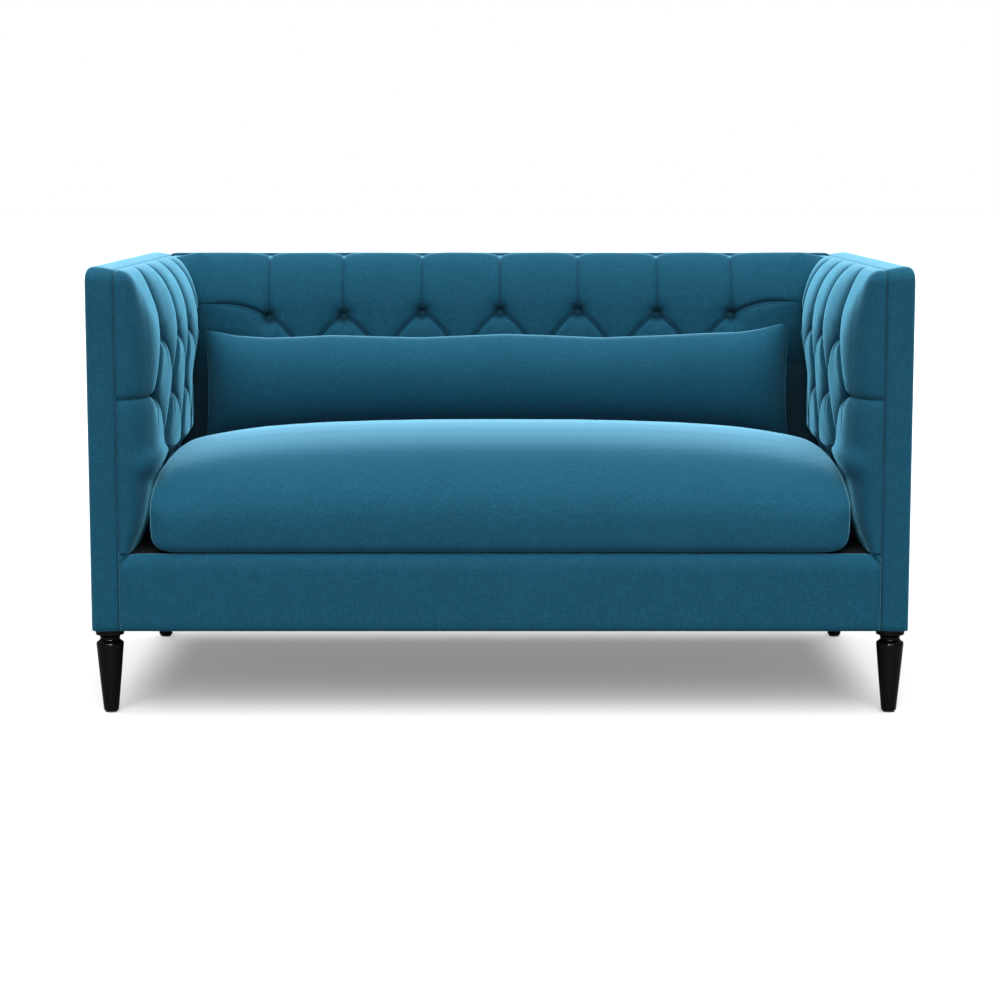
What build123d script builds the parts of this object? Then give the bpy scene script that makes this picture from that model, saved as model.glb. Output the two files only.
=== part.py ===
from build123d import *
from collections import namedtuple
import math
import os

# Two-seater sofa with tufted arms as high as its back.
# X runs to the right as seen from the front, Y to the back, Z up.
# The origin is on the floor, below the middle of the sofa. All sizes are in millimetres.

# Overall size
width = 1524.0
depth = 870.0
height = 838.0
leg_height = 161.0

# Walls: a padded band outside, a tufted pad inside
band_width = 53.0
band_pad = 18.0
band_edge_round = 14.0
band_seam_dip = 6.0
band_bend = 12.0
pad_depth = 82.0
panel_thickness = 4.0
panel_corner = 3.0
liner_thickness = 3.0

# Tufted pads
button_diameter = 17.0
button_rim = 3.0
button_height = 6.0
button_top_diameter = 11.0
button_seat_margin = 1.5
tuft_depth = 28.0
tuft_mid_depth = 13.0
tuft_row_spacing = 110.0
tuft_row_count = 3
back_row_drop = 120.0
back_end_gap = 144.0
back_button_count = 7
arm_row_drop = 135.0
arm_first_button = 150.0
arm_last_gap = 90.0
arm_button_count = 4
corner_dip = 14.0
corner_strip = 15.0
end_fold_rise = 6.0
uneven_drop = 0.15
front_roll = 57.0
front_roll_mid_in = 0.67
front_roll_mid_back = 0.15
top_roll_angles = (30.0, 58.0, 80.0)
top_pleat_depths = (16.0, 9.0, 4.0)
plain_pleat_width = 6.0
knee_pleat_depth = 11.0
foot_pleat_depth = 5.0
knee_share = 0.56
arm_knee_thickness = 56.0
arm_foot_thickness = 30.0
back_knee_thickness = 76.0
back_foot_thickness = 66.0
tail_width = 22.0
tail_set = 8.0
tail_clearance = 0.5

# Base
deck_height = 306.0
deck_thickness = 12.0
webbing_thickness = 2.0
webbing_width = 50.0
long_strap_count = 9
cross_strap_count = 4
strap_end_gap = 70.0
strap_landing = 16.0
rail_thickness = 28.0
dust_cover_thickness = 1.0
dust_cover_margin = 1.0
rail_cover_corner = 33.0
rail_cover_reveal = 2.0
rail_cover_edge = 6.0
brace_leg = 90.0
brace_height = 50.0
stretcher_width = 44.0
stretcher_height = 50.0
stretcher_spacing = 480.0

# Upper frame
post_depth = 60.0
leg_block_height = 40.0
top_rail_height = 45.0
tack_rail_thickness = 18.0
tack_rail_height = 60.0
tack_rail_lift = 14.0
stud_width = 60.0
upright_spacing = 480.0

# Legs
leg_inset = 48.0
leg_side_inset = 28.0
collar_diameter = 53.5
collar_height = 8.0
cove_height = 4.5
neck_diameter = 37.0
neck_height = 5.5
shoulder_diameter = 51.5
shoulder_height = 7.0
shoulder_chamfer = 2.5
foot_diameter = 28.0
glide_diameter = 22.0
glide_height = 3.0
bolt_diameter = 8.0
bolt_in_leg = 32.0
insert_diameter = 12.0
insert_length = 22.0
bolt_clearance = 0.15

# Seat cushion
cushion_rise = 0.3
cushion_arm_gap = 3.0
cushion_back_gap = 6.0
cushion_front_set = 3.0
cushion_crown = 219.0
cushion_crown_place = 0.45
cushion_side_height = 162.0
cushion_belly = 70.0
cushion_plan_round = 30.0
cushion_crown_angles = (30.0, 62.0, 90.0)
cushion_side_angles = (45.0, 72.0)
nose_foot = 32.0
nose_belly = 85.0
nose_reach = 95.0
nose_drop = 26.0
nose_swell = 14.0
rear_foot = 12.0
rear_round = 32.0
rear_drop = 34.0
rear_swell = 8.0
cushion_wall = 3.0
core_gap = 0.6
section_steps = 6

# Bolster
bolster_left_gap = 8.0
bolster_right_gap = 22.0
bolster_height = 178.0
bolster_thickness = 136.0
bolster_foot = 60.0
bolster_lean = 12.0
bolster_belly_share = 0.45
bolster_back_gap = 5.0
bolster_rise = 0.3
bolster_ear = 18.0
bolster_angles = (0.0, 40.0, 70.0, 90.0)
bolster_wall = 3.0

# Planes that several pieces share
side = width / 2
front = -depth / 2
rear = depth / 2
seam_x = side - band_width
seam_y = rear - band_width
band_front = front + band_pad
band_top = height - band_pad
seam_top = height - band_seam_dip
frame_side = side - panel_thickness
frame_rear = rear - panel_thickness
frame_inner = seam_x + liner_thickness
frame_back = seam_y + liner_thickness
frame_floor = leg_height + dust_cover_thickness
block_top = frame_floor + leg_block_height
deck_bottom = deck_height - deck_thickness
rail_top = deck_bottom - 2 * webbing_thickness
cross_level = rail_top + webbing_thickness
front_post_back = band_front + post_depth
rear_post_front = frame_rear - post_depth
front_rail_back = band_front + rail_thickness
upright_front = frame_rear - rail_thickness
top_rail_floor = band_top - top_rail_height
tack_floor = deck_height + tack_rail_lift
tack_top = tack_floor + tack_rail_height
stretcher_top = frame_floor + stretcher_height
bolt_bore = bolt_diameter / 2 + bolt_clearance
leg_x = side - leg_side_inset
leg_y = rear - leg_inset
pad_face_y = seam_y - pad_depth
button_seat = button_diameter / 2 + button_seat_margin
wall_length = seam_y - front
arm_pitch = (pad_face_y - front - arm_first_button - arm_last_gap) / (arm_button_count - 1)
back_reach = seam_x - pad_depth - back_end_gap
back_pitch = 2 * back_reach / (back_button_count - 1)
bolster_length = 2 * (seam_x - pad_depth) - bolster_left_gap - bolster_right_gap
bolster_offset = (bolster_left_gap - bolster_right_gap) / 2

# Turns in degrees, and how a pad's seats stand at one height: in line, shifted by half a pitch, or between
eighth_turn = 45.0
quarter_turn = 90.0
in_line = 0.0
halfway = 0.5
shifted = 1.0

Level = namedtuple("Level", "z thickness layout pleat half row")


def block(x0, x1, y0, y1, z0, z1):
    """A straight piece between two corners."""
    middle = Pos((x0 + x1) / 2, (y0 + y1) / 2, (z0 + z1) / 2)
    return middle * Box(x1 - x0, y1 - y0, z1 - z0)


def spread(count, reach):
    """Evenly spaced places from -reach to reach."""
    step = 2 * reach / (count - 1)
    return [step * i - reach for i in range(count)]


def sine(angle):
    return math.sin(math.radians(angle))


def cosine(angle):
    return math.cos(math.radians(angle))


def mix(first, second, share):
    return first + (second - first) * share


def save(name, *shapes):
    """One node: a single solid, or a group of like solids."""
    solids = [solid for shape in shapes for solid in shape.solids()]
    whole = solids[0] if len(solids) == 1 else Compound(solids)
    export_step(whole, f"parts/{name}.step")


def save_pair(name, *shapes):
    """Right-hand pieces under one name, and their mirror images on the left."""
    save(f"right_{name}", *shapes)
    save(f"left_{name}", *[mirror(shape, about=Plane.YZ) for shape in shapes])


def closed_wire(edges, place, steps=None):
    """A closed wire of lines and arcs, each given as its start, its middle or None, and its end.

    With a number of steps, an arc is drawn as that many straight runs.
    """
    made = []
    for start, middle, end in edges:
        if middle is None:
            made.append(Edge.make_line(place(start), place(end)))
            continue
        arc = Edge.make_three_point_arc(place(start), place(middle), place(end))
        if steps is None:
            made.append(arc)
        else:
            made += [Edge.make_line(*run) for run in straight_runs(arc, steps)]
    return Wire(made)


def straight_runs(arc, steps):
    """The ends of each straight run along an arc."""
    stops = [arc.position_at(i / steps) for i in range(steps + 1)]
    return list(zip(stops, stops[1:]))


# Tufted pads. Each row of buttons draws the cover into narrow flat seats, and the cushions between
# them stand out as arcs. A row has its seats where the row above has its cushions, so the pleats
# between two rows run as diamonds. Above and below the rows they run on as straight pleats.


def pad_rows(row_drop):
    return [height - row_drop - tuft_row_spacing * i for i in range(tuft_row_count)]


def pad_levels(row_drop, knee, foot):
    """The horizontal sections of a pad, from the deck to the top seam."""
    rows = pad_rows(row_drop)
    low = rows[-1] - button_seat
    high = rows[0] + button_seat
    narrow = plain_pleat_width / 2
    knee_z = mix(deck_height, low, knee_share)
    levels = [
        Level(deck_height, foot, in_line, foot_pleat_depth, narrow, False),
        Level(knee_z, knee, in_line, knee_pleat_depth, narrow, False),
    ]
    for index in reversed(range(tuft_row_count)):
        layout = shifted if index % 2 else in_line
        for edge in (-button_seat, button_seat):
            z = rows[index] + edge
            levels.append(Level(z, pad_depth, layout, tuft_depth, button_seat, True))
        if index:
            z = (rows[index] + rows[index - 1]) / 2
            levels.append(Level(z, pad_depth, halfway, tuft_mid_depth, button_seat, False))
    for angle, pleat in zip(top_roll_angles, top_pleat_depths):
        z = mix(high, seam_top, sine(angle) / sine(top_roll_angles[-1]))
        levels.append(Level(z, pad_depth * cosine(angle), in_line, pleat, narrow, False))
    return levels


def pad_thickness(levels, z):
    """Fullest thickness of a pad at any height."""
    for below, above in zip(levels, levels[1:]):
        if z <= above.z:
            return mix(below.thickness, above.thickness, (z - below.z) / (above.z - below.z))
    return levels[-1].thickness


def pairs(places, half):
    """The two edges of each button's seat."""
    return [place + turn * half for place in places for turn in (-1, 1)]


def padded_face(level, seams, flats, folds):
    """The tufted edge of a section: flat seats as lines, low end folds and full cushions as arcs."""
    edges = []
    for index, (start, end) in enumerate(zip(seams, seams[1:])):
        base = (start[0] + end[0]) / 2
        full = level.thickness - uneven_drop * abs(start[0] - end[0])
        crown = base + end_fold_rise if index in folds else full
        middle = None if index in flats else (crown, (start[1] + end[1]) / 2)
        edges.append((start, middle, end))
    return edges


def seats_of(level, last):
    """Which stretches of a section are flat: every other one, and none halfway between two rows."""
    if level.layout == in_line:
        return set(range(1, last, 2))
    if level.layout == shifted:
        return set(range(0, last + 1, 2))
    return set()


def arm_buttons(row):
    shift = arm_pitch / 2 if row % 2 else 0.0
    return [arm_first_button - shift + arm_pitch * i for i in range(arm_button_count)]


def back_buttons(row):
    if row % 2:
        return spread(back_button_count - 1, back_reach - back_pitch / 2)
    return spread(back_button_count, back_reach)


def band_edge(z):
    """How far behind the front plane the arm band's seam lies, as it bends back over the arm."""
    bend_z = band_top - band_bend
    reach = band_bend + band_pad - band_seam_dip
    over = min(max(z - bend_z, 0.0), reach)
    return band_pad + band_bend - math.sqrt(reach**2 - over**2)


def arm_section(level):
    """One section of the right inside arm: distance from the seam plane, distance from the front."""
    share = level.thickness / pad_depth
    start = band_edge(level.z)
    dip = corner_dip * share
    corner = wall_length - level.thickness + dip
    straight = [start + front_roll * share] + pairs(arm_buttons(0), level.half) + [corner]
    offset = pairs(arm_buttons(1), level.half) + [corner - corner_strip, corner]
    places = [mix(a, b, level.layout) for a, b in zip(straight, offset)]
    depths = [level.pleat * level.layout] + [level.pleat] * (len(places) - 3)
    depths += [mix(level.pleat, dip, level.layout), dip]
    seams = [(level.thickness - d, p) for d, p in zip(depths, places)]
    last = len(seams) - 2
    folds = {last} if level.row else set()
    edges = padded_face(level, seams, seats_of(level, last), folds)
    edges.append((seams[-1], None, (0.0, wall_length)))
    edges.append(((0.0, wall_length), None, (0.0, start)))
    roll_back = start + (front_roll_mid_back * front_roll - band_seam_dip) * share
    edges.append(((0.0, start), (front_roll_mid_in * seams[0][0], roll_back), seams[0]))
    return closed_wire(edges, lambda p: Vector(seam_x - p[0], front + p[1], level.z))


def back_section(level):
    """One section of the inside back: distance from the seam plane, place along the back."""
    share = level.thickness / pad_depth
    dip = corner_dip * share
    corner = seam_x - level.thickness + dip
    straight = [-corner] + pairs(back_buttons(0), level.half) + [corner]
    offset = [-corner, corner_strip - corner] + pairs(back_buttons(1), level.half)
    offset += [corner - corner_strip, corner]
    places = [mix(a, b, level.layout) for a, b in zip(straight, offset)]
    beside = mix(level.pleat, dip, level.layout)
    depths = [dip, beside] + [level.pleat] * (len(places) - 4) + [beside, dip]
    seams = [(level.thickness - d, p) for d, p in zip(depths, places)]
    last = len(seams) - 2
    folds = {0, last} if level.row and level.layout == in_line else set()
    edges = padded_face(level, seams, seats_of(level, last), folds)
    edges.append((seams[-1], None, (0.0, seam_x)))
    edges.append(((0.0, seam_x), None, (0.0, -seam_x)))
    edges.append(((0.0, -seam_x), None, seams[0]))
    return closed_wire(edges, lambda p: Vector(p[1], seam_y - p[0], level.z))


def tuft_button():
    """A covered button with its flat back at the origin and its low crown up +Z."""
    radius = button_diameter / 2
    rim = Cylinder(radius, button_rim, align=(Align.CENTER, Align.CENTER, Align.MIN))
    rise = button_height - button_rim
    crown = Cone(radius, button_top_diameter / 2, rise, align=(Align.CENTER, Align.CENTER, Align.MIN))
    return rim + Pos(0, 0, button_rim) * crown


# Padded strips


def band_profile():
    """A strip's section: its flat back along X from the seam, its crown along -Y."""
    edge = band_pad - band_edge_round
    round_x = band_width - band_edge_round
    out = band_edge_round * cosine(eighth_turn)
    up = band_edge_round * sine(eighth_turn)
    seam = (0, band_seam_dip - band_pad)
    with BuildSketch() as profile:
        with BuildLine():
            Polyline(seam, (0, 0), (band_width, 0), (band_width, -edge))
            ThreePointArc((band_width, -edge), (round_x + out, -edge - up), (round_x, -band_pad))
            TangentArc((round_x, -band_pad), seam, tangent=(-1, 0))
        make_face()
    return profile.sketch


def arm_band():
    """One strip up the arm's front, over the bend and back along its top."""
    start = (seam_x, band_front, leg_height)
    bend_start = (seam_x, band_front, band_top - band_bend)
    bend_end = (seam_x, band_front + band_bend, band_top)
    slack = band_bend * (1 - sine(eighth_turn))
    bend_middle = (seam_x, band_front + slack, band_top - slack)
    path = Wire(
        [
            Edge.make_line(start, bend_start),
            Edge.make_three_point_arc(bend_start, bend_middle, bend_end),
            Edge.make_line(bend_end, (seam_x, rear, band_top)),
        ]
    )
    section = Plane(origin=start, x_dir=(1, 0, 0), z_dir=(0, 0, 1)) * band_profile()
    return sweep(section, path=path)


def back_band():
    """The strip along the top of the back, between the arm strips."""
    plane = Plane(origin=(-seam_x, seam_y, band_top), x_dir=(0, 1, 0), z_dir=(-1, 0, 0))
    return extrude(plane * band_profile(), amount=-2 * seam_x)


# Legs


def leg():
    """A turned leg: collar, cove, neck, sloped shoulder and a long taper."""
    collar = collar_diameter / 2
    neck = neck_diameter / 2
    shoulder = shoulder_diameter / 2
    cove_top = leg_height - collar_height
    neck_top = cove_top - cove_height
    neck_foot = neck_top - neck_height
    shoulder_z = neck_foot - shoulder_height
    cove_middle = (mix(collar, neck, sine(eighth_turn)), mix(neck_top, cove_top, sine(eighth_turn)))
    flare = (shoulder - shoulder_chamfer, shoulder_z + shoulder_chamfer)
    with BuildPart() as turned:
        with BuildSketch(Plane.XZ):
            with BuildLine():
                Polyline((0, glide_height), (0, leg_height), (collar, leg_height), (collar, cove_top))
                ThreePointArc((collar, cove_top), cove_middle, (neck, neck_top))
                Polyline((neck, neck_top), (neck, neck_foot), flare, (shoulder, shoulder_z))
                Polyline((shoulder, shoulder_z), (foot_diameter / 2, glide_height), (0, glide_height))
            make_face()
        revolve(axis=Axis.Z)
    return turned.part - upright_cylinder(bolt_bore, leg_height - bolt_in_leg, leg_height)


def under_bend(piece):
    """A straight piece of the arm with its upper front corner rounded to the band's bend."""
    corner = piece.edges().filter_by(Axis.X).sort_by(Axis.Y)[:2].sort_by(Axis.Z)[-1]
    return fillet(corner, radius=band_bend)


def upright_cylinder(radius, z0, z1):
    return Pos(0, 0, z0) * Cylinder(radius, z1 - z0, align=(Align.CENTER, Align.CENTER, Align.MIN))


# Seat cushion: sections across the sofa, with a bullnose front and a crown


def cushion_stations(levels, inset):
    """Places along X with the cushion's lowest and highest point and its rounding in plan there."""
    floor = deck_height + cushion_rise
    wide = seam_x - pad_thickness(levels, floor + cushion_side_height) - cushion_arm_gap - inset
    stations = [(0.0, inset, cushion_crown - inset, 0.0)]
    for angle in cushion_crown_angles:
        top = mix(cushion_side_height, cushion_crown, cosine(angle)) - inset
        stations.append((wide * sine(angle), inset, top, 0.0))
    for angle in cushion_side_angles:
        low = cushion_belly * (1 - cosine(angle))
        high = mix(cushion_belly, cushion_side_height, cosine(angle))
        reach = seam_x - pad_thickness(levels, floor + high) - cushion_arm_gap - inset
        rounding = cushion_plan_round * (1 - cosine(angle))
        stations.append((reach, low + inset * cosine(angle), high - inset * cosine(angle), rounding))
    mirrored = [(-x, *rest) for x, *rest in stations[:0:-1]]
    return mirrored + stations


def cushion_points(station, inset):
    """Corner points of one section of the cushion, as (y, z), with the crown's middle."""
    _, low, high, rounding = station
    share = (high - low) / cushion_crown
    near = front + cushion_front_set + rounding + inset
    far = pad_face_y - cushion_back_gap - rounding - inset
    z0 = deck_height + cushion_rise + low
    z1 = deck_height + cushion_rise + high
    foot = (near + nose_foot * share, z0)
    belly = (near, z0 + nose_belly * share)
    nose = (near + nose_reach * share, z1 - nose_drop * share)
    crown = (mix(near, far, cushion_crown_place), z1)
    back_top = (far - rear_round * share, z1 - rear_drop * share)
    back_belly = (far, z0 + nose_belly * share)
    back_foot = (far - rear_foot * share, z0)
    return foot, belly, nose, crown, back_top, back_belly, back_foot, share


def swelled(start, end, swell):
    """The middle of an arc that stands out from its chord, to the left of its run."""
    dy = end[0] - start[0]
    dz = end[1] - start[1]
    length = math.hypot(dy, dz)
    return ((start[0] + end[0]) / 2 - dz / length * swell, (start[1] + end[1]) / 2 + dy / length * swell)


def cushion_section(station, inset):
    foot, belly, nose, crown, back_top, back_belly, back_foot, share = cushion_points(station, inset)
    edges = [
        (back_foot, None, foot),
        (foot, swelled(foot, belly, nose_swell * share), belly),
        (belly, swelled(belly, nose, nose_swell * share), nose),
        (nose, crown, back_top),
        (back_top, swelled(back_top, back_belly, nose_swell * share), back_belly),
        (back_belly, swelled(back_belly, back_foot, rear_swell * share), back_foot),
    ]
    return closed_wire(edges, lambda p: Vector(station[0], p[0], p[1]), section_steps)


def cushion(levels, inset):
    wires = [cushion_section(station, inset) for station in cushion_stations(levels, inset)]
    return Solid.make_loft(wires, ruled=True)


def crown_height(at):
    """Height of the cushion's crown, in the middle of the sofa, at one place from front to back."""
    _, _, nose, crown, back_top, *_ = cushion_points((0.0, 0.0, cushion_crown, 0.0), 0.0)
    arc = Edge.make_three_point_arc(Vector(*nose), Vector(*crown), Vector(*back_top))
    start, end = [run for run in straight_runs(arc, section_steps) if run[0].X <= at][-1]
    return mix(start.Y, end.Y, (at - start.X) / (end.X - start.X))


# Bolster: sections across the sofa, knife-edged along the top and at both ends


def bolster_section(angle, turn, floor, inset):
    share = mix(bolster_ear / bolster_thickness, 1.0, cosine(angle))
    x = bolster_offset + turn * (bolster_length / 2 - inset) * sine(angle)
    half = bolster_thickness / 2 * share - inset
    middle = pad_face_y - bolster_back_gap - bolster_thickness / 2
    foot = (bolster_foot / 2 - inset) * share
    low = floor + inset
    high = floor + bolster_height - inset
    belly_z = mix(low, high, bolster_belly_share)
    near = (middle - foot, low)
    far = (middle + foot, low)
    seam = (middle - bolster_lean, high)
    edges = [
        (far, None, near),
        (near, (middle - half, belly_z), seam),
        (seam, (middle + half, belly_z), far),
    ]
    return closed_wire(edges, lambda p: Vector(x, p[0], p[1]), section_steps)


def bolster(floor, inset):
    left = [bolster_section(angle, -1, floor, inset) for angle in bolster_angles[:0:-1]]
    right = [bolster_section(angle, 1, floor, inset) for angle in bolster_angles]
    return Solid.make_loft(left + right, ruled=True)


os.makedirs("parts", exist_ok=True)

# Base frame
front_rail = block(-frame_inner, frame_inner, band_front, front_rail_back, frame_floor, rail_top)
rear_rail = block(-frame_inner, frame_inner, frame_back, frame_rear, frame_floor, rail_top)
side_rail = block(frame_inner, frame_side, front_post_back, rear_post_front, frame_floor, cross_level)
stretcher_half = stretcher_width / 2
stretcher = block(-stretcher_half, stretcher_half, front_rail_back, frame_back, frame_floor, stretcher_top)
stretchers = [Pos(x, 0, 0) * stretcher for x in (-stretcher_spacing / 2, stretcher_spacing / 2)]
save("front_seat_rail", front_rail)
save("rear_seat_rail", rear_rail)
save_pair("seat_rail", side_rail)
save("seat_stretchers", *stretchers)
braces = []
for wall, away in ((front_rail_back, brace_leg), (frame_back, -brace_leg)):
    tips = ((frame_inner, wall), (frame_inner - brace_leg, wall), (frame_inner, wall + away))
    triangle = Polyline(*tips, close=True)
    brace = Pos(0, 0, frame_floor) * extrude(make_face(triangle), amount=brace_height, dir=(0, 0, 1))
    braces += [brace, mirror(brace, about=Plane.YZ)]
save("corner_braces", *braces)

# Legs and what fastens them
leg_places = [Pos(x, y, 0) for x in (-leg_x, leg_x) for y in (-leg_y, leg_y)]
leg_names = ("front_left_leg", "rear_left_leg", "front_right_leg", "rear_right_leg")
insert_top = frame_floor + insert_length
insert = upright_cylinder(insert_diameter / 2, frame_floor, insert_top)
insert -= upright_cylinder(bolt_bore, frame_floor, insert_top)
bolt = upright_cylinder(bolt_diameter / 2, leg_height - bolt_in_leg, insert_top)
glide = upright_cylinder(glide_diameter / 2, 0, glide_height)
for place, name in zip(leg_places, leg_names):
    save(name, place * leg())
save("leg_inserts", *[place * insert for place in leg_places])
save("leg_hanger_bolts", *[place * bolt for place in leg_places])
save("leg_glides", *[place * glide for place in leg_places])
insert_bore = upright_cylinder(insert_diameter / 2 + bolt_clearance, frame_floor, insert_top)
front_block = block(frame_inner, frame_side, band_front, front_post_back, frame_floor, block_top)
rear_block = block(frame_inner, frame_side, rear_post_front, frame_rear, frame_floor, block_top)
front_block -= Pos(leg_x, -leg_y, 0) * insert_bore
rear_block -= Pos(leg_x, leg_y, 0) * insert_bore
blocks = [front_block, rear_block]
save("leg_blocks", *blocks, *[mirror(piece, about=Plane.YZ) for piece in blocks])

# Arm and back frame
post_span = (block_top, top_rail_floor)
save_pair("arm_front_post", block(frame_inner, frame_side, band_front, front_post_back, *post_span))
save_pair("rear_post", block(frame_inner, frame_side, rear_post_front, frame_rear, *post_span))
arm_rail = block(frame_inner, frame_side, band_front, frame_rear, top_rail_floor, band_top)
save_pair("arm_top_rail", under_bend(arm_rail))
tack_inner = frame_inner + tack_rail_thickness
tack_span = (tack_floor, tack_top)
save_pair("arm_tack_rail", block(frame_inner, tack_inner, front_post_back, rear_post_front, *tack_span))
stud_middle = (front_post_back + rear_post_front) / 2
stud_span = (stud_middle - stud_width / 2, stud_middle + stud_width / 2)
save_pair("arm_stud", block(tack_inner, frame_side, *stud_span, cross_level, top_rail_floor))
save("back_top_rail", block(-frame_inner, frame_inner, frame_back, frame_rear, top_rail_floor, band_top))
tack_front = upright_front - tack_rail_thickness
save("back_tack_rail", block(-frame_inner, frame_inner, tack_front, upright_front, *tack_span))
upright = block(-stud_width / 2, stud_width / 2, upright_front, frame_rear, rail_top, top_rail_floor)
save("back_uprights", *[Pos(x, 0, 0) * upright for x in (-upright_spacing / 2, upright_spacing / 2)])

# Seat suspension
strap_half = webbing_width / 2
long_strap = block(-strap_half, strap_half, band_front, frame_back + strap_landing, rail_top, cross_level)
long_reach = frame_inner - strap_end_gap
cross_reach = (frame_back - front_rail_back) / 2 - strap_end_gap
cross_middle = (frame_back + front_rail_back) / 2
cross_end = frame_inner + strap_landing
cross_strap = block(-cross_end, cross_end, -strap_half, strap_half, cross_level, deck_bottom)
cross_places = [cross_middle + step for step in spread(cross_strap_count, cross_reach)]
save("long_webbing", *[Pos(x, 0, 0) * long_strap for x in spread(long_strap_count, long_reach)])
save("cross_webbing", *[Pos(0, y, 0) * cross_strap for y in cross_places])
save("deck_pad", block(-seam_x, seam_x, band_front, seam_y, deck_bottom, deck_height))

# Boards behind the pads
arm_liner = block(seam_x, frame_inner, band_front, seam_y, deck_height, band_top)
save_pair("arm_liner", under_bend(arm_liner))
save("back_liner", block(-frame_inner, frame_inner, seam_y, frame_back, deck_height, band_top))

# Tufted pads and their buttons
arm_levels = pad_levels(arm_row_drop, arm_knee_thickness, arm_foot_thickness)
back_levels = pad_levels(back_row_drop, back_knee_thickness, back_foot_thickness)
cover_reach = seam_x - rail_cover_reveal
corner_z = deck_height - rail_cover_corner
corner_cut = Pos(cover_reach - rail_cover_corner, band_front, corner_z) * Rot(quarter_turn, 0, 0)
corner_cut *= Cylinder(rail_cover_corner + tail_clearance, 2 * band_pad)
tail = block(seam_x - tail_width, seam_x, front + tail_set, band_front, corner_z, deck_height) - corner_cut
arm_pad = Solid.make_loft([arm_section(level) for level in arm_levels], ruled=True) + tail
back_pad = Solid.make_loft([back_section(level) for level in back_levels], ruled=True)
save_pair("inside_arm_pad", arm_pad)
save("inside_back_pad", back_pad)
arm_seat_x = seam_x - pad_depth + tuft_depth
back_seat_y = seam_y - pad_depth + tuft_depth
arm_button_set = []
back_button_set = []
for row, z in enumerate(pad_rows(arm_row_drop)):
    for along in arm_buttons(row):
        seat = Plane((arm_seat_x, front + along, z), x_dir=(0, 1, 0), z_dir=(-1, 0, 0))
        arm_button_set.append(seat * tuft_button())
for row, z in enumerate(pad_rows(back_row_drop)):
    for along in back_buttons(row):
        seat = Plane((along, back_seat_y, z), x_dir=(1, 0, 0), z_dir=(0, -1, 0))
        back_button_set.append(seat * tuft_button())
save_pair("arm_tuft_buttons", *arm_button_set)
save("back_tuft_buttons", *back_button_set)

# Outer covers
save_pair("arm_band", arm_band())
save("back_top_band", back_band())
arm_panel = block(frame_side, side, band_front, frame_rear, leg_height, band_top)
save_pair("outside_arm_panel", under_bend(arm_panel))
back_panel = block(-side, side, frame_rear, rear, leg_height, band_top)
panel_edges = back_panel.edges().filter_by(Axis.Z).group_by(Axis.Y)[-1]
save("outside_back_panel", fillet(panel_edges, radius=panel_corner))
rail_cover = block(-cover_reach, cover_reach, front, band_front, leg_height, deck_height)
top_corners = rail_cover.edges().filter_by(Axis.Y).group_by(Axis.Z)[-1]
rail_cover = fillet(top_corners, radius=rail_cover_corner)
front_edges = rail_cover.faces().sort_by(Axis.Y)[0].edges()
save("front_rail_cover", fillet(front_edges, radius=rail_cover_edge))
cloth_side = frame_side - dust_cover_margin
dust_cover = block(-cloth_side, cloth_side, band_front, frame_rear, leg_height, frame_floor)
bolt_hole = upright_cylinder(bolt_bore, leg_height, frame_floor)
for place in leg_places:
    dust_cover -= place * bolt_hole
save("dust_cover", dust_cover)

# Loose cushions, each a cover with its filling
save("seat_cushion_cover", cushion(arm_levels, 0.0) - cushion(arm_levels, cushion_wall))
save("seat_cushion_core", cushion(arm_levels, cushion_wall + core_gap))
bolster_front = pad_face_y - bolster_back_gap - bolster_thickness / 2 - bolster_foot / 2
bolster_floor = crown_height(bolster_front) + bolster_rise
save("bolster_cover", bolster(bolster_floor, 0.0) - bolster(bolster_floor, bolster_wall))
save("bolster_insert", bolster(bolster_floor, bolster_wall + core_gap))
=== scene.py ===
import math

import bmesh
import bpy
import numpy as np
from mathutils import Matrix, Vector


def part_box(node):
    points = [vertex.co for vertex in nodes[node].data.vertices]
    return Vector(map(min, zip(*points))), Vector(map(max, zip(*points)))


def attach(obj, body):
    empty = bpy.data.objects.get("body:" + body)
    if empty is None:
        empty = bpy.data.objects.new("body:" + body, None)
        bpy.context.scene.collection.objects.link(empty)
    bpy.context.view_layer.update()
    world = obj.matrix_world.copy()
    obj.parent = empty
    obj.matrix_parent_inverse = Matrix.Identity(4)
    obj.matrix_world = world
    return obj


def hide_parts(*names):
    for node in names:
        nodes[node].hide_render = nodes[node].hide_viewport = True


# Two-seater sofa with tufted arms, in metres, in the CAD model's frame.

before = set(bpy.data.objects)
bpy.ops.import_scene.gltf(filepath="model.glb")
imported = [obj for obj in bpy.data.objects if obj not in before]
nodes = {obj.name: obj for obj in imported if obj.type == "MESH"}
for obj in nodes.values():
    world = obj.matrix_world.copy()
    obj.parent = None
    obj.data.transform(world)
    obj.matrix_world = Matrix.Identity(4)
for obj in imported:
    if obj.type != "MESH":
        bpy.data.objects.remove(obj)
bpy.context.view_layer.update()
print("frame loaded:", len(nodes), "nodes")

# Planes that the pieces share with the CAD model, and the small gaps between pieces that touch
sofa = {
    "side": 0.762,
    "front": -0.435,
    "rear": 0.435,
    "seamX": 0.709,
    "seamY": 0.382,
    "seamTop": 0.832,
    "bandFront": -0.417,
    "bandTop": 0.820,
    "bandBend": 0.012,
    "bandDip": 0.006,
    "bandPad": 0.018,
    "bandWidth": 0.053,
    "underside": 0.161,
    "deck": 0.306,
    "padDepth": 0.082,
    "panelDepth": 0.004,
    "hair": 0.0002,
    "slack": 0.0004,
    "weld": 0.00003,
}
tiny = 1e-12  # keeps a division off zero
quarterTurn = math.pi / 2
fullTurn = 2 * math.pi
hands = {"right": 1, "left": -1}


# Shader maths

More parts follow.
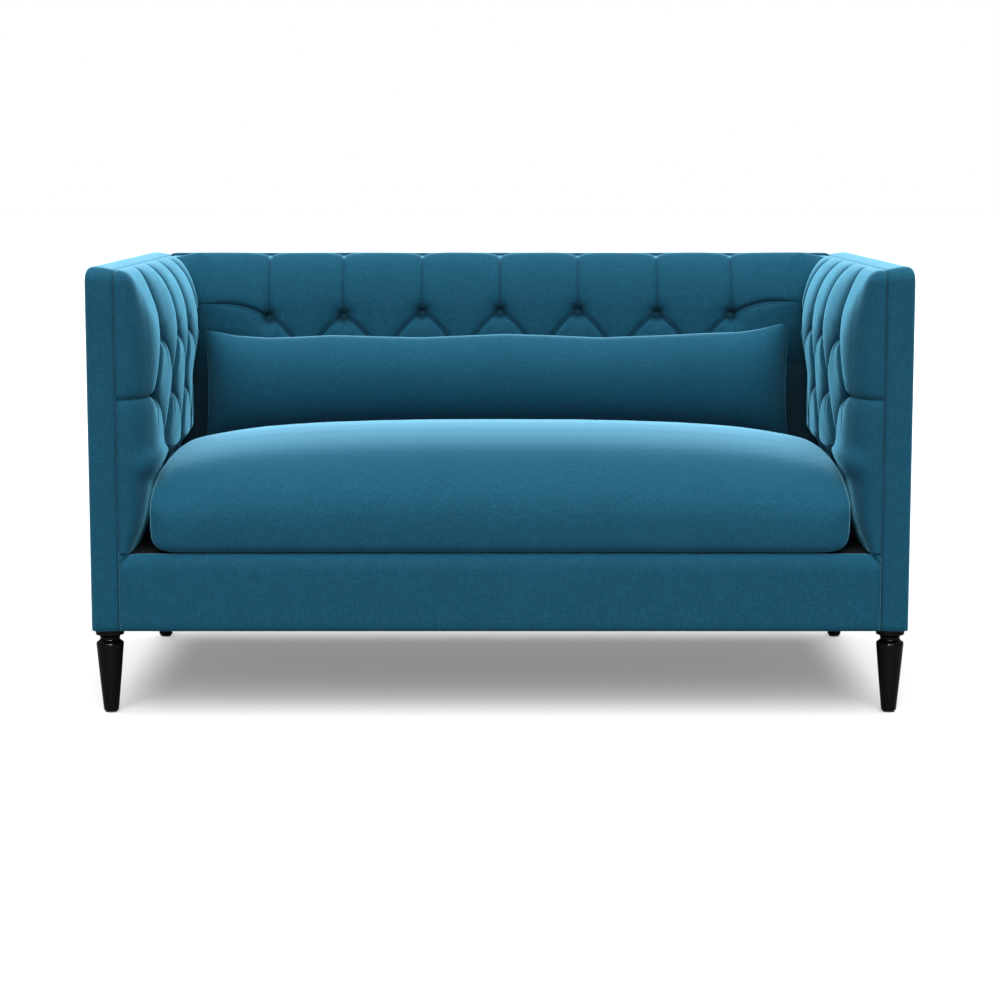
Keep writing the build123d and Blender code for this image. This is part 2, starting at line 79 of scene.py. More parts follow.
class Flow:
    # one output of a material's nodes, with arithmetic

    def __init__(self, tree, socket=None):
        self.tree = tree
        self.socket = socket

    def node(self, kind, settings=None, inputs=None, output=0):
        made = self.tree.nodes.new(kind)
        for key, value in (settings or {}).items():
            setattr(made, key, value)
        for key, value in (inputs or {}).items():
            if isinstance(value, Flow):
                self.tree.links.new(value.socket, made.inputs[key])
            else:
                made.inputs[key].default_value = value
        return Flow(self.tree, made.outputs[output])

    def math(self, operation, first, second=0.0):
        return self.node("ShaderNodeMath", {"operation": operation}, {0: first, 1: second})

    def __add__(self, other):
        return self.math("ADD", self, other)

    def __radd__(self, other):
        return self.math("ADD", other, self)

    def __sub__(self, other):
        return self.math("SUBTRACT", self, other)

    def __rsub__(self, other):
        return self.math("SUBTRACT", other, self)

    def __mul__(self, other):
        return self.math("MULTIPLY", self, other)

    def __rmul__(self, other):
        return self.math("MULTIPLY", other, self)

    def wave(self):
        return self.math("SINE", self)

    def size(self):
        return self.math("ABSOLUTE", self)

    def power(self, exponent):
        return self.math("POWER", self, exponent)

    def atLeast(self, low):
        return self.math("MAXIMUM", self, low)

    def place(self):
        return self.node("ShaderNodeTexCoord", output="Object")

    def parts(self, vector):
        split = self.tree.nodes.new("ShaderNodeSeparateXYZ")
        self.tree.links.new(vector.socket, split.inputs[0])
        return [Flow(self.tree, output) for output in split.outputs]

    def stretched(self, vector, scale):
        return self.node("ShaderNodeVectorMath", {"operation": "MULTIPLY"}, {0: vector, 1: scale})

    def noise(self, vector, scale, detail=2.0, rough=0.5):
        inputs = {"Vector": vector, "Scale": scale, "Detail": detail, "Roughness": rough}
        return self.node("ShaderNodeTexNoise", None, inputs)

    def tint(self, share, low, high):
        first, second = (one if isinstance(one, Flow) else (*one, 1.0) for one in (low, high))
        return self.node("ShaderNodeMix", {"data_type": "RGBA"}, {0: share, 6: first, 7: second}, 2)

    def bump(self, height, distance, strength):
        inputs = {"Height": height, "Distance": distance, "Strength": strength}
        return self.node("ShaderNodeBump", None, inputs)


def weighed(shares, *parts):
    # a first amount, and parts by their shares
    total = shares[0]
    for share, part in zip(shares[1:], parts):
        total = part * share + total
    return total


def newMaterial(name, fixed, varying):
    made = bpy.data.materials.new(name)
    made.use_nodes = True
    shader = made.node_tree.nodes["Principled BSDF"]
    for socket, value in fixed.items():
        shader.inputs[socket].default_value = value
    for socket, flow in varying(Flow(made.node_tree)).items():
        made.node_tree.links.new(flow.socket, shader.inputs[socket])
    return made


# Velvet with a linen-like ground: soft mottled nap, thread streaks both ways, sheen from the shader, and a
# painted sheen in its colour
velvet = {
    "deep": (0.0009, 0.036, 0.066),
    "light": (0.0026, 0.056, 0.098),
    "worn": (0.009, 0.088, 0.142),
    # painted shade: the dark colour that folds, dimples, seams and corners are painted towards, and its
    # strength
    "shadow": (0.0006, 0.009, 0.016),
    "foldShade": 0.70,
    # painted sheen: its pale colour, its power at grazing view, its share on faces that are not upward, and
    # its share and powers on turned faces
    "paintedSheen": (0.23, 0.55, 0.76),
    "paintedSheenPower": 6.0,
    "paintedSheenSide": 0.06,
    "paintedSheenTurned": 0.11,
    "turnedPowers": (1.5, 3.0),
    "sheen": 0.75,
    "sheenRoughness": 0.28,
    "sheenTint": (0.20, 0.70, 1.0, 1.0),
    "gloss": 0.08,
    "rough": (0.70, 0.2),
    "threadPitch": 0.0011,
    "threadBump": (0.00022, 0.7),
    # noises: scale, detail and roughness
    "nap": (7.0, 3.0, 0.55),
    "mottle": (85.0, 3.0, 0.6),
    "speckle": (420.0, 2.0, 0.7),
    "fuzz": (1500.0, 1.0, 0.5),
    "streak": (1.0, 2.0, 0.6),
    "streakStretch": (55.0, 420.0),
    # first amount, then the shares of the noises
    "tone": (-0.875, 0.40, 0.25, 0.90, 1.2),
    "glint": (-1.435, 0.25, 1.3, 1.4),
    "relief": (0.0, 0.25, 1.2, 0.8, 0.8),
}


def velvetNodes(flow):
    spot = flow.place()
    facing = flow.parts(flow.node("ShaderNodeTexCoord", output="Normal"))
    turn = fullTurn / velvet["threadPitch"]
    # each thread wave shows on the faces that lie along it
    threads = [(part * turn).wave() * (1.0 - face.size()) for part, face in zip(flow.parts(spot), facing)]
    weave = threads[0] + threads[1] + threads[2]
    along, across = velvet["streakStretch"]
    ways = ((along, across, across), (across, across, along))
    level, upright = (flow.noise(flow.stretched(spot, way), *velvet["streak"]) for way in ways)
    streaks = (level + upright) * 0.5
    names = ("nap", "mottle", "fuzz", "speckle")
    nap, mottle, fuzz, speckle = (flow.noise(spot, *velvet[name]) for name in names)
    # the painted shade that each piece carries in its fold attribute
    fold = flow.node("ShaderNodeAttribute", {"attribute_name": "fold"}, output="Fac")
    tone = weighed(velvet["tone"], nap, mottle, streaks, speckle)
    glint = weighed(velvet["glint"], mottle, streaks, speckle).atLeast(0.0)
    colour = flow.tint(tone, velvet["deep"], velvet["light"])
    colour = flow.tint(glint, colour, velvet["worn"])
    colour = flow.tint(fold * velvet["foldShade"], colour, velvet["shadow"])
    # painted sheen: the colour turns paler where the pile is seen along it, most on upward faces where the
    # light falls
    edge = flow.node("ShaderNodeLayerWeight", None, {"Blend": 0.5}, "Facing")
    upward = facing[2].atLeast(0.0) * (1.0 - velvet["paintedSheenSide"]) + velvet["paintedSheenSide"]
    rise, fall = velvet["turnedPowers"]
    turned = edge.power(rise) * (1.0 - edge.power(fall)) * (1.0 - upward) * velvet["paintedSheenTurned"]
    paintedSheen = (edge.power(velvet["paintedSheenPower"]) * upward + turned) * (1.0 - fold)
    relief = weighed(velvet["relief"], weave, streaks, fuzz, speckle)
    return {
        "Base Color": flow.tint(paintedSheen, colour, velvet["paintedSheen"]),
        "Roughness": weighed(velvet["rough"], mottle),
        "Normal": flow.bump(relief, *velvet["threadBump"]),
    }


tealVelvet = newMaterial("tealVelvet", {
    "Sheen Weight": velvet["sheen"],
    "Sheen Roughness": velvet["sheenRoughness"],
    "Sheen Tint": velvet["sheenTint"],
    "Specular IOR Level": velvet["gloss"],
}, velvetNodes)

# Plain finishes. A noise drives each one's colour, roughness and bump. Lacquer has a smear in its gloss.
# Timber has rings: their bend, their amounts and how they mix with the grain. Some have a broad patchiness,
# and cloths have threads: their pitch, and their shares in colour and bump.
plainLooks = {
    "blackLacquer": {
        "noise": (1.0, 4.0, 0.6), "stretch": (160.0, 160.0, 9.0), "smear": 24.0, "rough": (0.05, 0.08),
        "bump": (0.0001, 0.25), "tints": ((0.0010, 0.0009, 0.0009), (0.0030, 0.0025, 0.0025)),
        "fixed": {"Specular IOR Level": 0.08, "Coat Weight": 0.12, "Coat Roughness": 0.04},
    },
    "frameTimber": {
        "noise": (1.0, 5.0, 0.6), "stretch": (9.0, 120.0, 120.0), "rough": (0.62, 0.2), "bump": (0.0004, 0.4),
        "rings": (3.0, (0.0, 14.0, 6.0), (0.275, 0.275, 0.45)),
        "tints": ((0.30, 0.185, 0.09), (0.60, 0.43, 0.25)), "fixed": {"Specular IOR Level": 0.3},
    },
    "zincSteel": {
        "noise": (220.0, 4.0, 0.6), "rough": (0.28, 0.25), "bump": (0.0001, 0.3), "fixed": {"Metallic": 1.0},
        "tints": ((0.48, 0.48, 0.46), (0.72, 0.72, 0.70)),
    },
    "glidePlastic": {
        "noise": (900.0, 2.0), "rough": (0.5, 0.2), "bump": (0.0001, 0.4),
        "tints": ((0.018, 0.018, 0.019), (0.04, 0.04, 0.042)),
    },
    "webbingCloth": {
        "noise": (600.0, 3.0), "threads": (2600.0, 0.3, 1.0), "rough": (0.85, 0.1), "bump": (0.0005, 0.8),
        "tints": ((0.22, 0.16, 0.10), (0.46, 0.37, 0.25)), "fixed": {"Sheen Weight": 0.1},
    },
    "dustCloth": {
        "noise": (300.0, 4.0, 0.65), "threads": (1800.0, 0.0, 0.5), "rough": (0.8, 0.15),
        "bump": (0.0004, 0.7), "tints": ((0.010, 0.010, 0.011), (0.032, 0.032, 0.034)),
        "fixed": {"Sheen Weight": 0.08},
    },
    "linerBoard": {
        "noise": (140.0, 4.0, 0.7), "rough": (0.75, 0.2), "bump": (0.0004, 0.5),
        "tints": ((0.30, 0.21, 0.13), (0.52, 0.40, 0.27)),
    },
    "softFilling": {
        "noise": (700.0, 3.0, 0.7), "patch": (8.0, 2.0), "rough": (0.9, 0.08), "bump": (0.0006, 0.7),
        "tints": ((0.66, 0.61, 0.50), (0.88, 0.85, 0.77)), "fixed": {"Sheen Weight": 0.1},
    },
    "deckCloth": {
        "noise": (1.0, 2.0), "stretch": (700.0, 40.0, 40.0), "patch": (9.0, 3.0),
        "threads": (3100.0, 0.0, 0.4), "rough": (0.85, 0.1), "bump": (0.0004, 0.7),
        "tints": ((0.004, 0.006, 0.007), (0.011, 0.015, 0.017)), "fixed": {"Specular IOR Level": 0.05},
    },
}


def plainNodes(look):
    def varying(flow):
        spot = flow.place()
        fine = flow.stretched(spot, look["stretch"]) if "stretch" in look else spot
        grain = flow.noise(fine, *look["noise"])
        shade = height = gloss = grain
        if "smear" in look:
            gloss = flow.noise(spot, look["smear"])
        if "rings" in look:
            bend, amounts, mix = look["rings"]
            rings = weighed(amounts, grain, flow.noise(spot, bend)).wave()
            shade = weighed(mix, rings, grain)
        if "patch" in look:
            shade = (grain + flow.noise(spot, *look["patch"])) * 0.5
        if "threads" in look:
            turn, inColour, inBump = look["threads"]
            x, y, _ = flow.parts(spot)
            threads = (x * turn).wave() * (y * turn).wave()
            shade = shade + threads * inColour
            height = height + threads * inBump
        return {
            "Base Color": flow.tint(shade, *look["tints"]),
            "Roughness": weighed(look["rough"], gloss),
            "Normal": flow.bump(height, *look["bump"]),
        }
    return varying


plain = {}
for name, look in plainLooks.items():
    plain[name] = newMaterial(name, look.get("fixed", {}), plainNodes(look))

# The floor throws less light back on the sofa than it shows
ground = {
    "grain": (2.0, 3.0),
    "seen": ((0.475, 0.475, 0.475), (0.485, 0.485, 0.485)),
    "thrown": (0.17, 0.17, 0.17),
    "black": (0.0, 0.0, 0.0),
    "white": (1.0, 1.0, 1.0),
    "rough": (0.7, 0.1),
    "fixed": {"Specular IOR Level": 0.2, "Emission Strength": 0.25},
}


def floorNodes(flow):
    grain = flow.noise(flow.place(), *ground["grain"])
    seen = flow.node("ShaderNodeLightPath", output="Is Camera Ray")
    return {
        "Base Color": flow.tint(seen, ground["thrown"], flow.tint(grain, *ground["seen"])),
        "Roughness": weighed(ground["rough"], grain),
        "Emission Color": flow.tint(seen, ground["black"], ground["white"]),
    }


paleFloor = newMaterial("paleFloor", ground["fixed"], floorNodes)
print("materials made")


# Small helpers

def newMesh(name, bm):
    mesh = bpy.data.meshes.new(name)
    bm.to_mesh(mesh)
    bm.free()
    return mesh


def newObject(name, data):
    made = bpy.data.objects.new(name, data)
    bpy.context.scene.collection.objects.link(made)
    return made


def finishPiece(name, bm, material, body, node, sharp=None):
    mesh = newMesh(name, bm)
    mesh.shade_smooth()
    if sharp is not None:
        mesh.set_sharp_from_angle(angle=math.radians(sharp))
    mesh.materials.append(material)
    piece = newObject(name, mesh)
    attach(piece, body)
    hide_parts(node)
    return piece


def velvetPiece(name, bm, node, sharp=None, body="sofa_frame"):
    piece = finishPiece(name, bm, tealVelvet, body, node, sharp)
    return piece


def velvetPair(name, build, node, sharp=None):
    # the right-hand piece, and its mirror image on the left
    for hand in hands:
        bm = build()
        if hand == "left":
            bmesh.ops.scale(bm, verts=bm.verts, vec=(-1.0, 1.0, 1.0))
            bmesh.ops.reverse_faces(bm, faces=bm.faces)
        velvetPiece(hand + name, bm, hand + node, sharp)


def makeFiner(piece):
    finer = piece.modifiers.new("finer", "SUBSURF")
    finer.levels = finer.render_levels = 1


def places(bm):
    return np.array([vert.co for vert in bm.verts])


def moveTo(bm, points):
    for vert, point in zip(bm.verts, points):
        vert.co = point


def newParts(made, kind):
    return [part for part in made if isinstance(part, kind)]


def closeUp(bm):
    bmesh.ops.holes_fill(bm, edges=[edge for edge in bm.edges if edge.is_boundary], sides=0)
    bmesh.ops.recalc_face_normals(bm, faces=bm.faces)


def smoothStep(low, high, value):
    share = np.clip((value - low) / (high - low), 0.0, 1.0)
    return share * share * (3.0 - 2.0 * share)


def ripple(a, b, size, seed, waves=6, turn=6.28):
    # slow uneven wave of a stretched cover, from a few fixed sines
    rng = np.random.default_rng(seed)
    total = np.zeros_like(a)
    for _ in range(waves):
        turnA, turnB = rng.uniform(-1.0, 1.0, 2) * 2 * math.pi / size
        total += np.sin(a * turnA + b * turnB + rng.uniform(0.0, turn))
    return total / waves


def evenCurve(first, second, sizes, count):
    # two rows of shares along a curve, its length, and the lengths at even stops
    run = np.hypot(np.diff(first) * sizes[0], np.diff(second) * sizes[1])
    length = np.concatenate(((0.0,), np.cumsum(run)))
    return length, np.linspace(0.0, length[-1], count + 1)


def boxSmooth(values, width):
    half = width // 2
    return np.convolve(np.pad(values, half, "edge"), np.ones(width) / width, "valid")


def toRim(a, b, spanA, spanB):
    return np.minimum.reduce((a - spanA[0], spanA[1] - a, b - spanB[0], spanB[1] - b))


def fading(away, amount, reach):
    return amount * np.exp(-away / reach)


def layer(*parts):
    # points from arrays of x, y and z
    return np.stack(np.broadcast_arrays(*parts), axis=-1)


def shadedMesh():
    # a mesh whose places also carry a painted shade, for folds, dimples, seams and corners
    bm = bmesh.new()
    return bm, bm.verts.layers.float.new("fold")


def setShade(bm, inPaintedShade, values):
    for vert, value in zip(bm.verts, values):
        vert[inPaintedShade] = value


# Tufting: pleats and buttons draw a padded cover in

tuft = {
    "blend": 3.0,           # how softly neighbouring grooves join
    "near": 6.0,            # how many reaches a groove is followed for
    "creaseReach": 0.0024,  # the sharp fold at the bottom of a groove
    "tuckGap": 0.0065,      # the fold's second line beside a pleat
    "tuckWidth": 0.0016,
    "tuckDepth": 0.0018,
    "tuckStart": (0.02, 0.2),
    "tuckEnd": (0.75, 0.98),
    "leanSlow": 0.25,
    "leanSteep": -0.5,
    # painted shade along creases, tucks and dimples, and the crease depth that gives it in full
    "shadeFull": 0.0052,
    "shadeReach": 0.0015,
    "tuckShade": 0.5,
    "funnelShade": (1.3, 0.0105),
    "funnel": 0.0135,       # how wide a button's dimple is
    "funnelPower": 1.1,
    "funnelNear": 0.1,
    "deepest": 0.0283,
    "seat": 0.0278,         # where a button's back lies
    "raysAt": (56.0, 124.0),
    "rayLength": 0.027,
    "rayDepth": 0.0048,
    "rayReach": 0.0034,
    "fanUp": 0.012,         # painted shade in a fan above a button
    "fanSize": (0.014, 0.019),
    "fanShade": 0.45,
    "archOut": 0.58,        # the arched pleats' control point, as shares of the run
    "archDown": 0.19,
    "archSteps": 10,
    "endOut": 0.3,          # the same for the pleats that end at a corner
    "cornerIn": 0.012,
    "lip": 0.0003,
    "rollSamples": 600,
}


def nearestOn(line, a, b):
    best = np.full(a.shape, np.inf)
    along = np.zeros(a.shape)
    side = np.zeros(a.shape)
    last = len(line) - 1
    for i in range(last):
        start, run = line[i], line[i + 1] - line[i]
        share = ((a - start[0]) * run[0] + (b - start[1]) * run[1]) / (run @ run)
        share = np.clip(share, 0.0, 1.0)
        offA = a - start[0] - share * run[0]
        offB = b - start[1] - share * run[1]
        away = np.hypot(offA, offB)
        closer = away < best
        best = np.where(closer, away, best)
        along = np.where(closer, (i + share) / last, along)
        side = np.where(closer, np.sign(run[0] * offB - run[1] * offA), side)
    return best, along, side


def bent(start, control, end):
    share = np.linspace(0.0, 1.0, tuft["archSteps"] + 1)[:, None]
    start, control, end = (np.array(point) for point in (start, control, end))
    return (1 - share) ** 2 * start + 2 * share * (1 - share) * control + share**2 * end


def pleat(look, kind, line, tuckSide=0):
    # a fold along a line, with its broad and sharp depths at even stops from start to end
    depths, creases, reach = look[kind]
    line = np.array(line, float)
    return {"line": line, "depths": depths, "creases": creases, "reach": reach, "tuck": tuckSide}


def arch(look, start, end):
    # leaves the upper button sideways and drops to the lower one
    control = (
        start[0] + (end[0] - start[0]) * tuft["archOut"],
        start[1] + (end[1] - start[1]) * tuft["archDown"],
    )
    return pleat(look, "arches", bent(start, control, end), 1 if end[0] > start[0] else -1)


def evenStops(values, along):
    return np.interp(along, np.linspace(0.0, 1.0, len(values)), values)


def drawnIn(a, b, pleats, buttons):
    # how far the cover is drawn in at each place, and the painted shade it gets in creases, tucks, dimples
    # and the fan above each button
    total, fine, shade = np.zeros((3, *a.shape))
    blend = tuft["blend"]
    for fold in pleats:
        low = fold["line"].min(0) - tuft["near"] * fold["reach"]
        high = fold["line"].max(0) + tuft["near"] * fold["reach"]
        near = (a > low[0]) & (a < high[0]) & (b > low[1]) & (b < high[1])
        if not near.any():
            continue
        away, along, side = nearestOn(fold["line"], a[near], b[near])
        crease = evenStops(fold["creases"], along)
        lean = side * fold["tuck"]
        reach = fold["reach"] * (1.0 + np.where(lean > 0, tuft["leanSlow"], tuft["leanSteep"]) * np.abs(lean))
        total[near] += fading(away, evenStops(fold["depths"], along), reach) ** blend
        fine[near] += fading(away, crease, tuft["creaseReach"])
        shade[near] += fading(away, crease / tuft["shadeFull"], tuft["shadeReach"])
        if fold["tuck"]:
            ends = smoothStep(*tuft["tuckStart"], along) * (1.0 - smoothStep(*tuft["tuckEnd"], along))
            line = np.exp(-(((away * side - fold["tuck"] * tuft["tuckGap"]) / tuft["tuckWidth"]) ** 2))
            fine[near] += tuft["tuckDepth"] * line * ends
            shade[near] += tuft["tuckShade"] * line * ends
    dark, darkReach = tuft["funnelShade"]
    for spot in buttons:
        near = (np.abs(a - spot[0]) < tuft["funnelNear"]) & (np.abs(b - spot[1]) < tuft["funnelNear"])
        away = np.hypot(a[near] - spot[0], b[near] - spot[1])
        total[near] += (tuft["deepest"] * np.exp(-((away / tuft["funnel"]) ** tuft["funnelPower"]))) ** blend
        shade[near] += dark * np.exp(-((away / darkReach) ** 2))
        fanA = (a[near] - spot[0]) / tuft["fanSize"][0]
        fanB = (b[near] - spot[1] - tuft["fanUp"]) / tuft["fanSize"][1]
        shade[near] += tuft["fanShade"] * np.exp(-(fanA**2) - fanB**2)
        for turn in tuft["raysAt"]:
            angle = math.radians(turn)
            tip = np.array(spot) + tuft["rayLength"] * np.array((math.cos(angle), math.sin(angle)))
            gap, along, _ = nearestOn(np.array((spot, tip)), a[near], b[near])
            fine[near] += fading(gap, tuft["rayDepth"] * (1.0 - along), tuft["rayReach"])
            shade[near] += fading(gap, 1.0 - along, tuft["shadeReach"])
    return np.minimum(total ** (1 / blend) + fine, tuft["deepest"]), np.minimum(shade, 1.0)


def joined(*depths):
    # the deepest of several hollows, with soft joins
    return sum(depth ** tuft["blend"] for depth in depths) ** (1 / tuft["blend"])


def faceNormals(grid):
    normal = np.cross(np.gradient(grid, axis=1), np.gradient(grid, axis=0))
    return normal / np.maximum(np.linalg.norm(normal, axis=2, keepdims=True), tiny)


def paddedGrid(surface, back, shade=None):
    # a fine grid over the cover's face, with its edges run back and closed behind, and painted shade on its
    # places when given
    rows, columns = surface.shape[:2]
    bm = bmesh.new()
    inPaintedShade = None if shade is None else bm.verts.layers.float.new("fold")
    bmesh.ops.create_grid(bm, x_segments=columns - 1, y_segments=rows - 1, size=1.0)
    face = list(bm.verts)
    rim = [edge for edge in bm.edges if edge.is_boundary]
    behind = newParts(bmesh.ops.extrude_edge_only(bm, edges=rim)["geom"], bmesh.types.BMVert)
    for group, target in ((face, surface), (behind, back)):
        for vert in group:
            column = round((vert.co.x + 1) / 2 * (columns - 1))
            row = round((vert.co.y + 1) / 2 * (rows - 1))
            vert.co = target[row, column]
            if inPaintedShade:
                vert[inPaintedShade] = shade[row, column]
    bmesh.ops.remove_doubles(bm, verts=bm.verts, dist=sofa["hair"])
    closeUp(bm)
    return bm


def rollUp(look, thickness):
    # heights, thicknesses and run lengths of a pad, up its face and over its full rounded top
    low, step = look["rollStart"], look["step"]
    turn = np.linspace(0.0, quarterTurn, tuft["rollSamples"])
    share = np.cos(turn) ** (2 / look["rollPower"])
    crest = look["crest"] * 4 * share * (1 - share)
    up = low + (sofa["seamTop"] - low) * np.sin(turn) ** (2 / look["rollPower"]) + crest
    length, _ = evenCurve(share, up, (sofa["padDepth"], 1.0), 1)
    even = np.linspace(0.0, length[-1], int(length[-1] / step) + 1)
    below = np.arange(sofa["deck"], low - step / 2, step)
    columns = (
        (below, np.interp(even, length, up)),
        (thickness(below), sofa["padDepth"] * np.interp(even, length, share)),
        (below, low + even),
        (np.zeros(len(below)), np.interp(even, length, crest)),
    )
    return [np.concatenate(column)[:, None] for column in columns]


def diamonds(look, first, second, third, topEnd):
    # the pleats above, between and below three rows of buttons
    folds = []
    for upper, lower in zip(first, third):
        folds.append(pleat(look, "upright", (upper, (upper[0], topEnd))))
        folds.append(pleat(look, "low", (lower, (lower[0], sofa["deck"]))))
        for middle in second:
            if abs(middle[0] - upper[0]) < look["neighbour"]:
                folds.append(arch(look, upper, middle))
                folds.append(arch(look, middle, lower))
    return folds


def endPleat(look, spot, corner, rise, bow):
    # from a row's last button into the corner
    near = (spot[0] + tuft["endOut"] * (corner - spot[0]), spot[1] + bow)
    return pleat(look, "ends", bent(spot, near, (corner, spot[1] + rise)), -1 if corner > spot[0] else 1)


# Inside back. Each kind of pleat has its broad depths, its sharp depths and its reach.

insideBack = {
    "firstRow": (
        (-0.492, 0.700), (-0.334, 0.703), (-0.166, 0.710), (0.0, 0.712), (0.166, 0.713), (0.334, 0.707),
        (0.492, 0.706),
    ),
    "secondRow": 0.602,
    "thirdRow": 0.494,
    "neighbour": 0.12,
    "step": 0.0021,
    "levels": (0.306, 0.407, 0.480),
    "thickness": (0.066, 0.076, 0.082),
    "rollStart": 0.718,
    "rollPower": 2.1,
    "crest": 0.0155,
    "crestEnd": 0.045,
    "upright": (
        (0.015, 0.0075, 0.006, 0.0085, 0.0105, 0.009), (0.003, 0.0038, 0.0035, 0.0038, 0.0035, 0.003), 0.014,
    ),
    "low": ((0.016, 0.011, 0.007), (0.003, 0.004, 0.003), 0.014),
    "arches": ((0.018, 0.0080, 0.0065, 0.0085, 0.019), (0.002, 0.0040, 0.0040, 0.0040, 0.002), 0.0105),
    "ends": ((0.017, 0.0075, 0.0062, 0.007), (0.002, 0.0042, 0.0042, 0.004), 0.0105),
    "endRises": (0.031, 0.012, 0.0),
    "endBows": (0.042, 0.014, 0.0),
    "cornerTurn": 0.06,
    "seamDip": 0.0045,
    "seamReach": 0.0045,
    "loose": 0.0012,
    "looseWave": (0.22, 4),
    "looseFall": 0.4,
    "backWidth": 0.9995,
}


def backPleats(look, topEnd):
    first = look["firstRow"]
    second = [((x + far) / 2, look["secondRow"]) for (x, _), (far, _) in zip(first, first[1:])]
    third = [(x, look["thirdRow"]) for x, _ in first]
    folds = diamonds(look, first, second, third, topEnd)
    corner = sofa["seamX"] - sofa["padDepth"] + tuft["cornerIn"]
    for row, rise, bow in zip((first, second, third), look["endRises"], look["endBows"]):
        folds.append(endPleat(look, row[0], -corner, rise, bow))
        folds.append(endPleat(look, row[-1], corner, rise, bow))
    return folds, [*first, *second, *third]


# Where the pads of the back and the arms meet, both fall back, more so lower down
cornerFold = {
    "levels": (0.45, 0.60, 0.68, 0.75),
    "dips": (0.052, 0.050, 0.026, 0.016),
    "reaches": (0.090, 0.085, 0.032, 0.016),
    # painted shade low in the corner: its reach from the corner, the heights it fades over, and its strength
    "darkReach": (0.020, 0.085),
    "darkLevels": (0.56, 0.69),
    "darkShare": 0.95,
}


def cornerDraw(heights, toCorner):
    dip, reach = (np.interp(heights, cornerFold["levels"], cornerFold[name]) for name in ("dips", "reaches"))
    return fading(toCorner, dip, reach)


def cornerShade(heights, toCorner):
    # little light gets into the corner beside the bolster
    low = 1.0 - smoothStep(*cornerFold["darkLevels"], heights)
    return cornerFold["darkShare"] * low * (1.0 - smoothStep(*cornerFold["darkReach"], toCorner))


def makeInsideBack():
    look = insideBack
    heights, deep, lengths, crests = rollUp(look, lambda z: np.interp(z, look["levels"], look["thickness"]))
    across = np.linspace(-1.0, 1.0, int(2 * sofa["seamX"] / look["step"]) | 1)
    reach = sofa["seamX"] - deep
    a, b = np.broadcast_arrays(reach * across, lengths)
    toCorner = reach - np.abs(a)
    level = heights - crests * (1.0 - smoothStep(0.0, look["crestEnd"], toCorner))
    base = layer(a, sofa["seamY"] - deep, level)
    folds, buttons = backPleats(look, lengths[-1, 0])
    depth, shade = drawnIn(a, b, folds, buttons)
    share = deep / sofa["padDepth"]
    seam = fading(lengths[-1] - b, look["seamDip"], look["seamReach"])
    depth = joined(depth, cornerDraw(heights, toCorner) * share, seam)
    depth += look["loose"] * (1 + ripple(a, b, *look["looseWave"])) * (1 - share * look["looseFall"])
    surface = base - faceNormals(base) * depth[:, :, None]
    edge = 1.0 - smoothStep(0.0, look["cornerTurn"], toCorner)
    surface[:, :, 0] += np.sign(a) * (depth - tuft["lip"]) * edge
    back = layer(sofa["seamX"] * across * look["backWidth"], sofa["seamY"] - sofa["hair"], level)
    bm = paddedGrid(surface, back, np.maximum(shade, cornerShade(heights, toCorner)))
    velvetPiece("insideBackPad", bm, "inside_back_pad")
    return buttons


backButtons = makeInsideBack()
print("inside back made")

# Inside arms: the cover starts at the front seam, rolls round the front and runs back to the corner

insideArm = {
    "rows": (0.703, 0.593, 0.483),
    # thickness by height: full above the seat, squeezed thinner beside the cushion
    "thickness": (
        (0.306, 0.021), (0.320, 0.026), (0.340, 0.034), (0.360, 0.039), (0.400, 0.042), (0.437, 0.045),
        (0.449, 0.049), (0.458, 0.055), (0.466, 0.062), (0.472, 0.069), (0.478, 0.076), (0.486, 0.082),
    ),
    # how much thinner the pad is at its front, by height: fuller where it swells over the seat's corner
    "frontThin": (
        (0.306, 0.0), (0.320, -0.0015), (0.350, -0.0030), (0.382, -0.0065), (0.414, -0.0085),
        (0.446, -0.0115), (0.463, -0.0130), (0.474, -0.0075), (0.484, 0.0020), (0.500, 0.0105),
        (0.515, 0.0120),
    ),
    "thinEnd": (-0.29, -0.10),
    "fullEnd": (-0.33, -0.23),
    "thinStart": (0.0, 0.09),
    "thinShare": (0.2, 0.8),
    "tableSpan": (0.270, 0.560, 146),
    "tableSmooth": 7,
    "firstButton": -0.235,
    "pitch": 0.165,
    "count": 4,
    "neighbour": 0.12,
    "step": 0.0023,
    "rollStart": 0.662,
    "rollPower": 2.05,
    "crest": 0.002,
    "frontRoll": 0.130,
    "frontPower": 2.7,
    "frontColumns": 74,
    "frontSamples": 400,
    "upright": (
        (0.020, 0.012, 0.0095, 0.009, 0.008, 0.005), (0.003, 0.0042, 0.0045, 0.0045, 0.0045, 0.003), 0.016,
    ),
    "low": ((0.018, 0.012, 0.006), (0.003, 0.003, 0.002), 0.016),
    "arches": ((0.022, 0.0125, 0.0105, 0.0125, 0.022), (0.002, 0.004, 0.004, 0.004, 0.002), 0.014),
    "front": ((0.021, 0.0105, 0.0075, 0.006), (0.003, 0.004, 0.0042, 0.004), 0.0115),
    "frontBow": (0.004, -0.001),
    "ends": ((0.019, 0.010, 0.009, 0.010), (0.002, 0.004, 0.004, 0.004), 0.0105),
    "endRises": (0.022, 0.012, 0.0),
    "endBow": 1.2,
    "cornerTurn": 0.06,
    "seamDip": 0.003,
    "seamReach": 0.0035,
    # painted shade along the front seam: its strength and reach
    "seamShade": (0.7, 0.0012),
    "loose": 0.0010,
    "looseWave": (0.20, 9),
    "looseEnd": 0.05,
    "footShare": 0.5,
    "backSet": (0.005, 0.0005),
}


def softTable(name, z):
    # a table's values by height, without its corners
    levels = np.linspace(*insideArm["tableSpan"])
    values = np.interp(levels, *np.array(insideArm[name]).T)
    return np.interp(z, levels, boxSmooth(values, insideArm["tableSmooth"]))


def armThickness(z):
    return softTable("thickness", z)


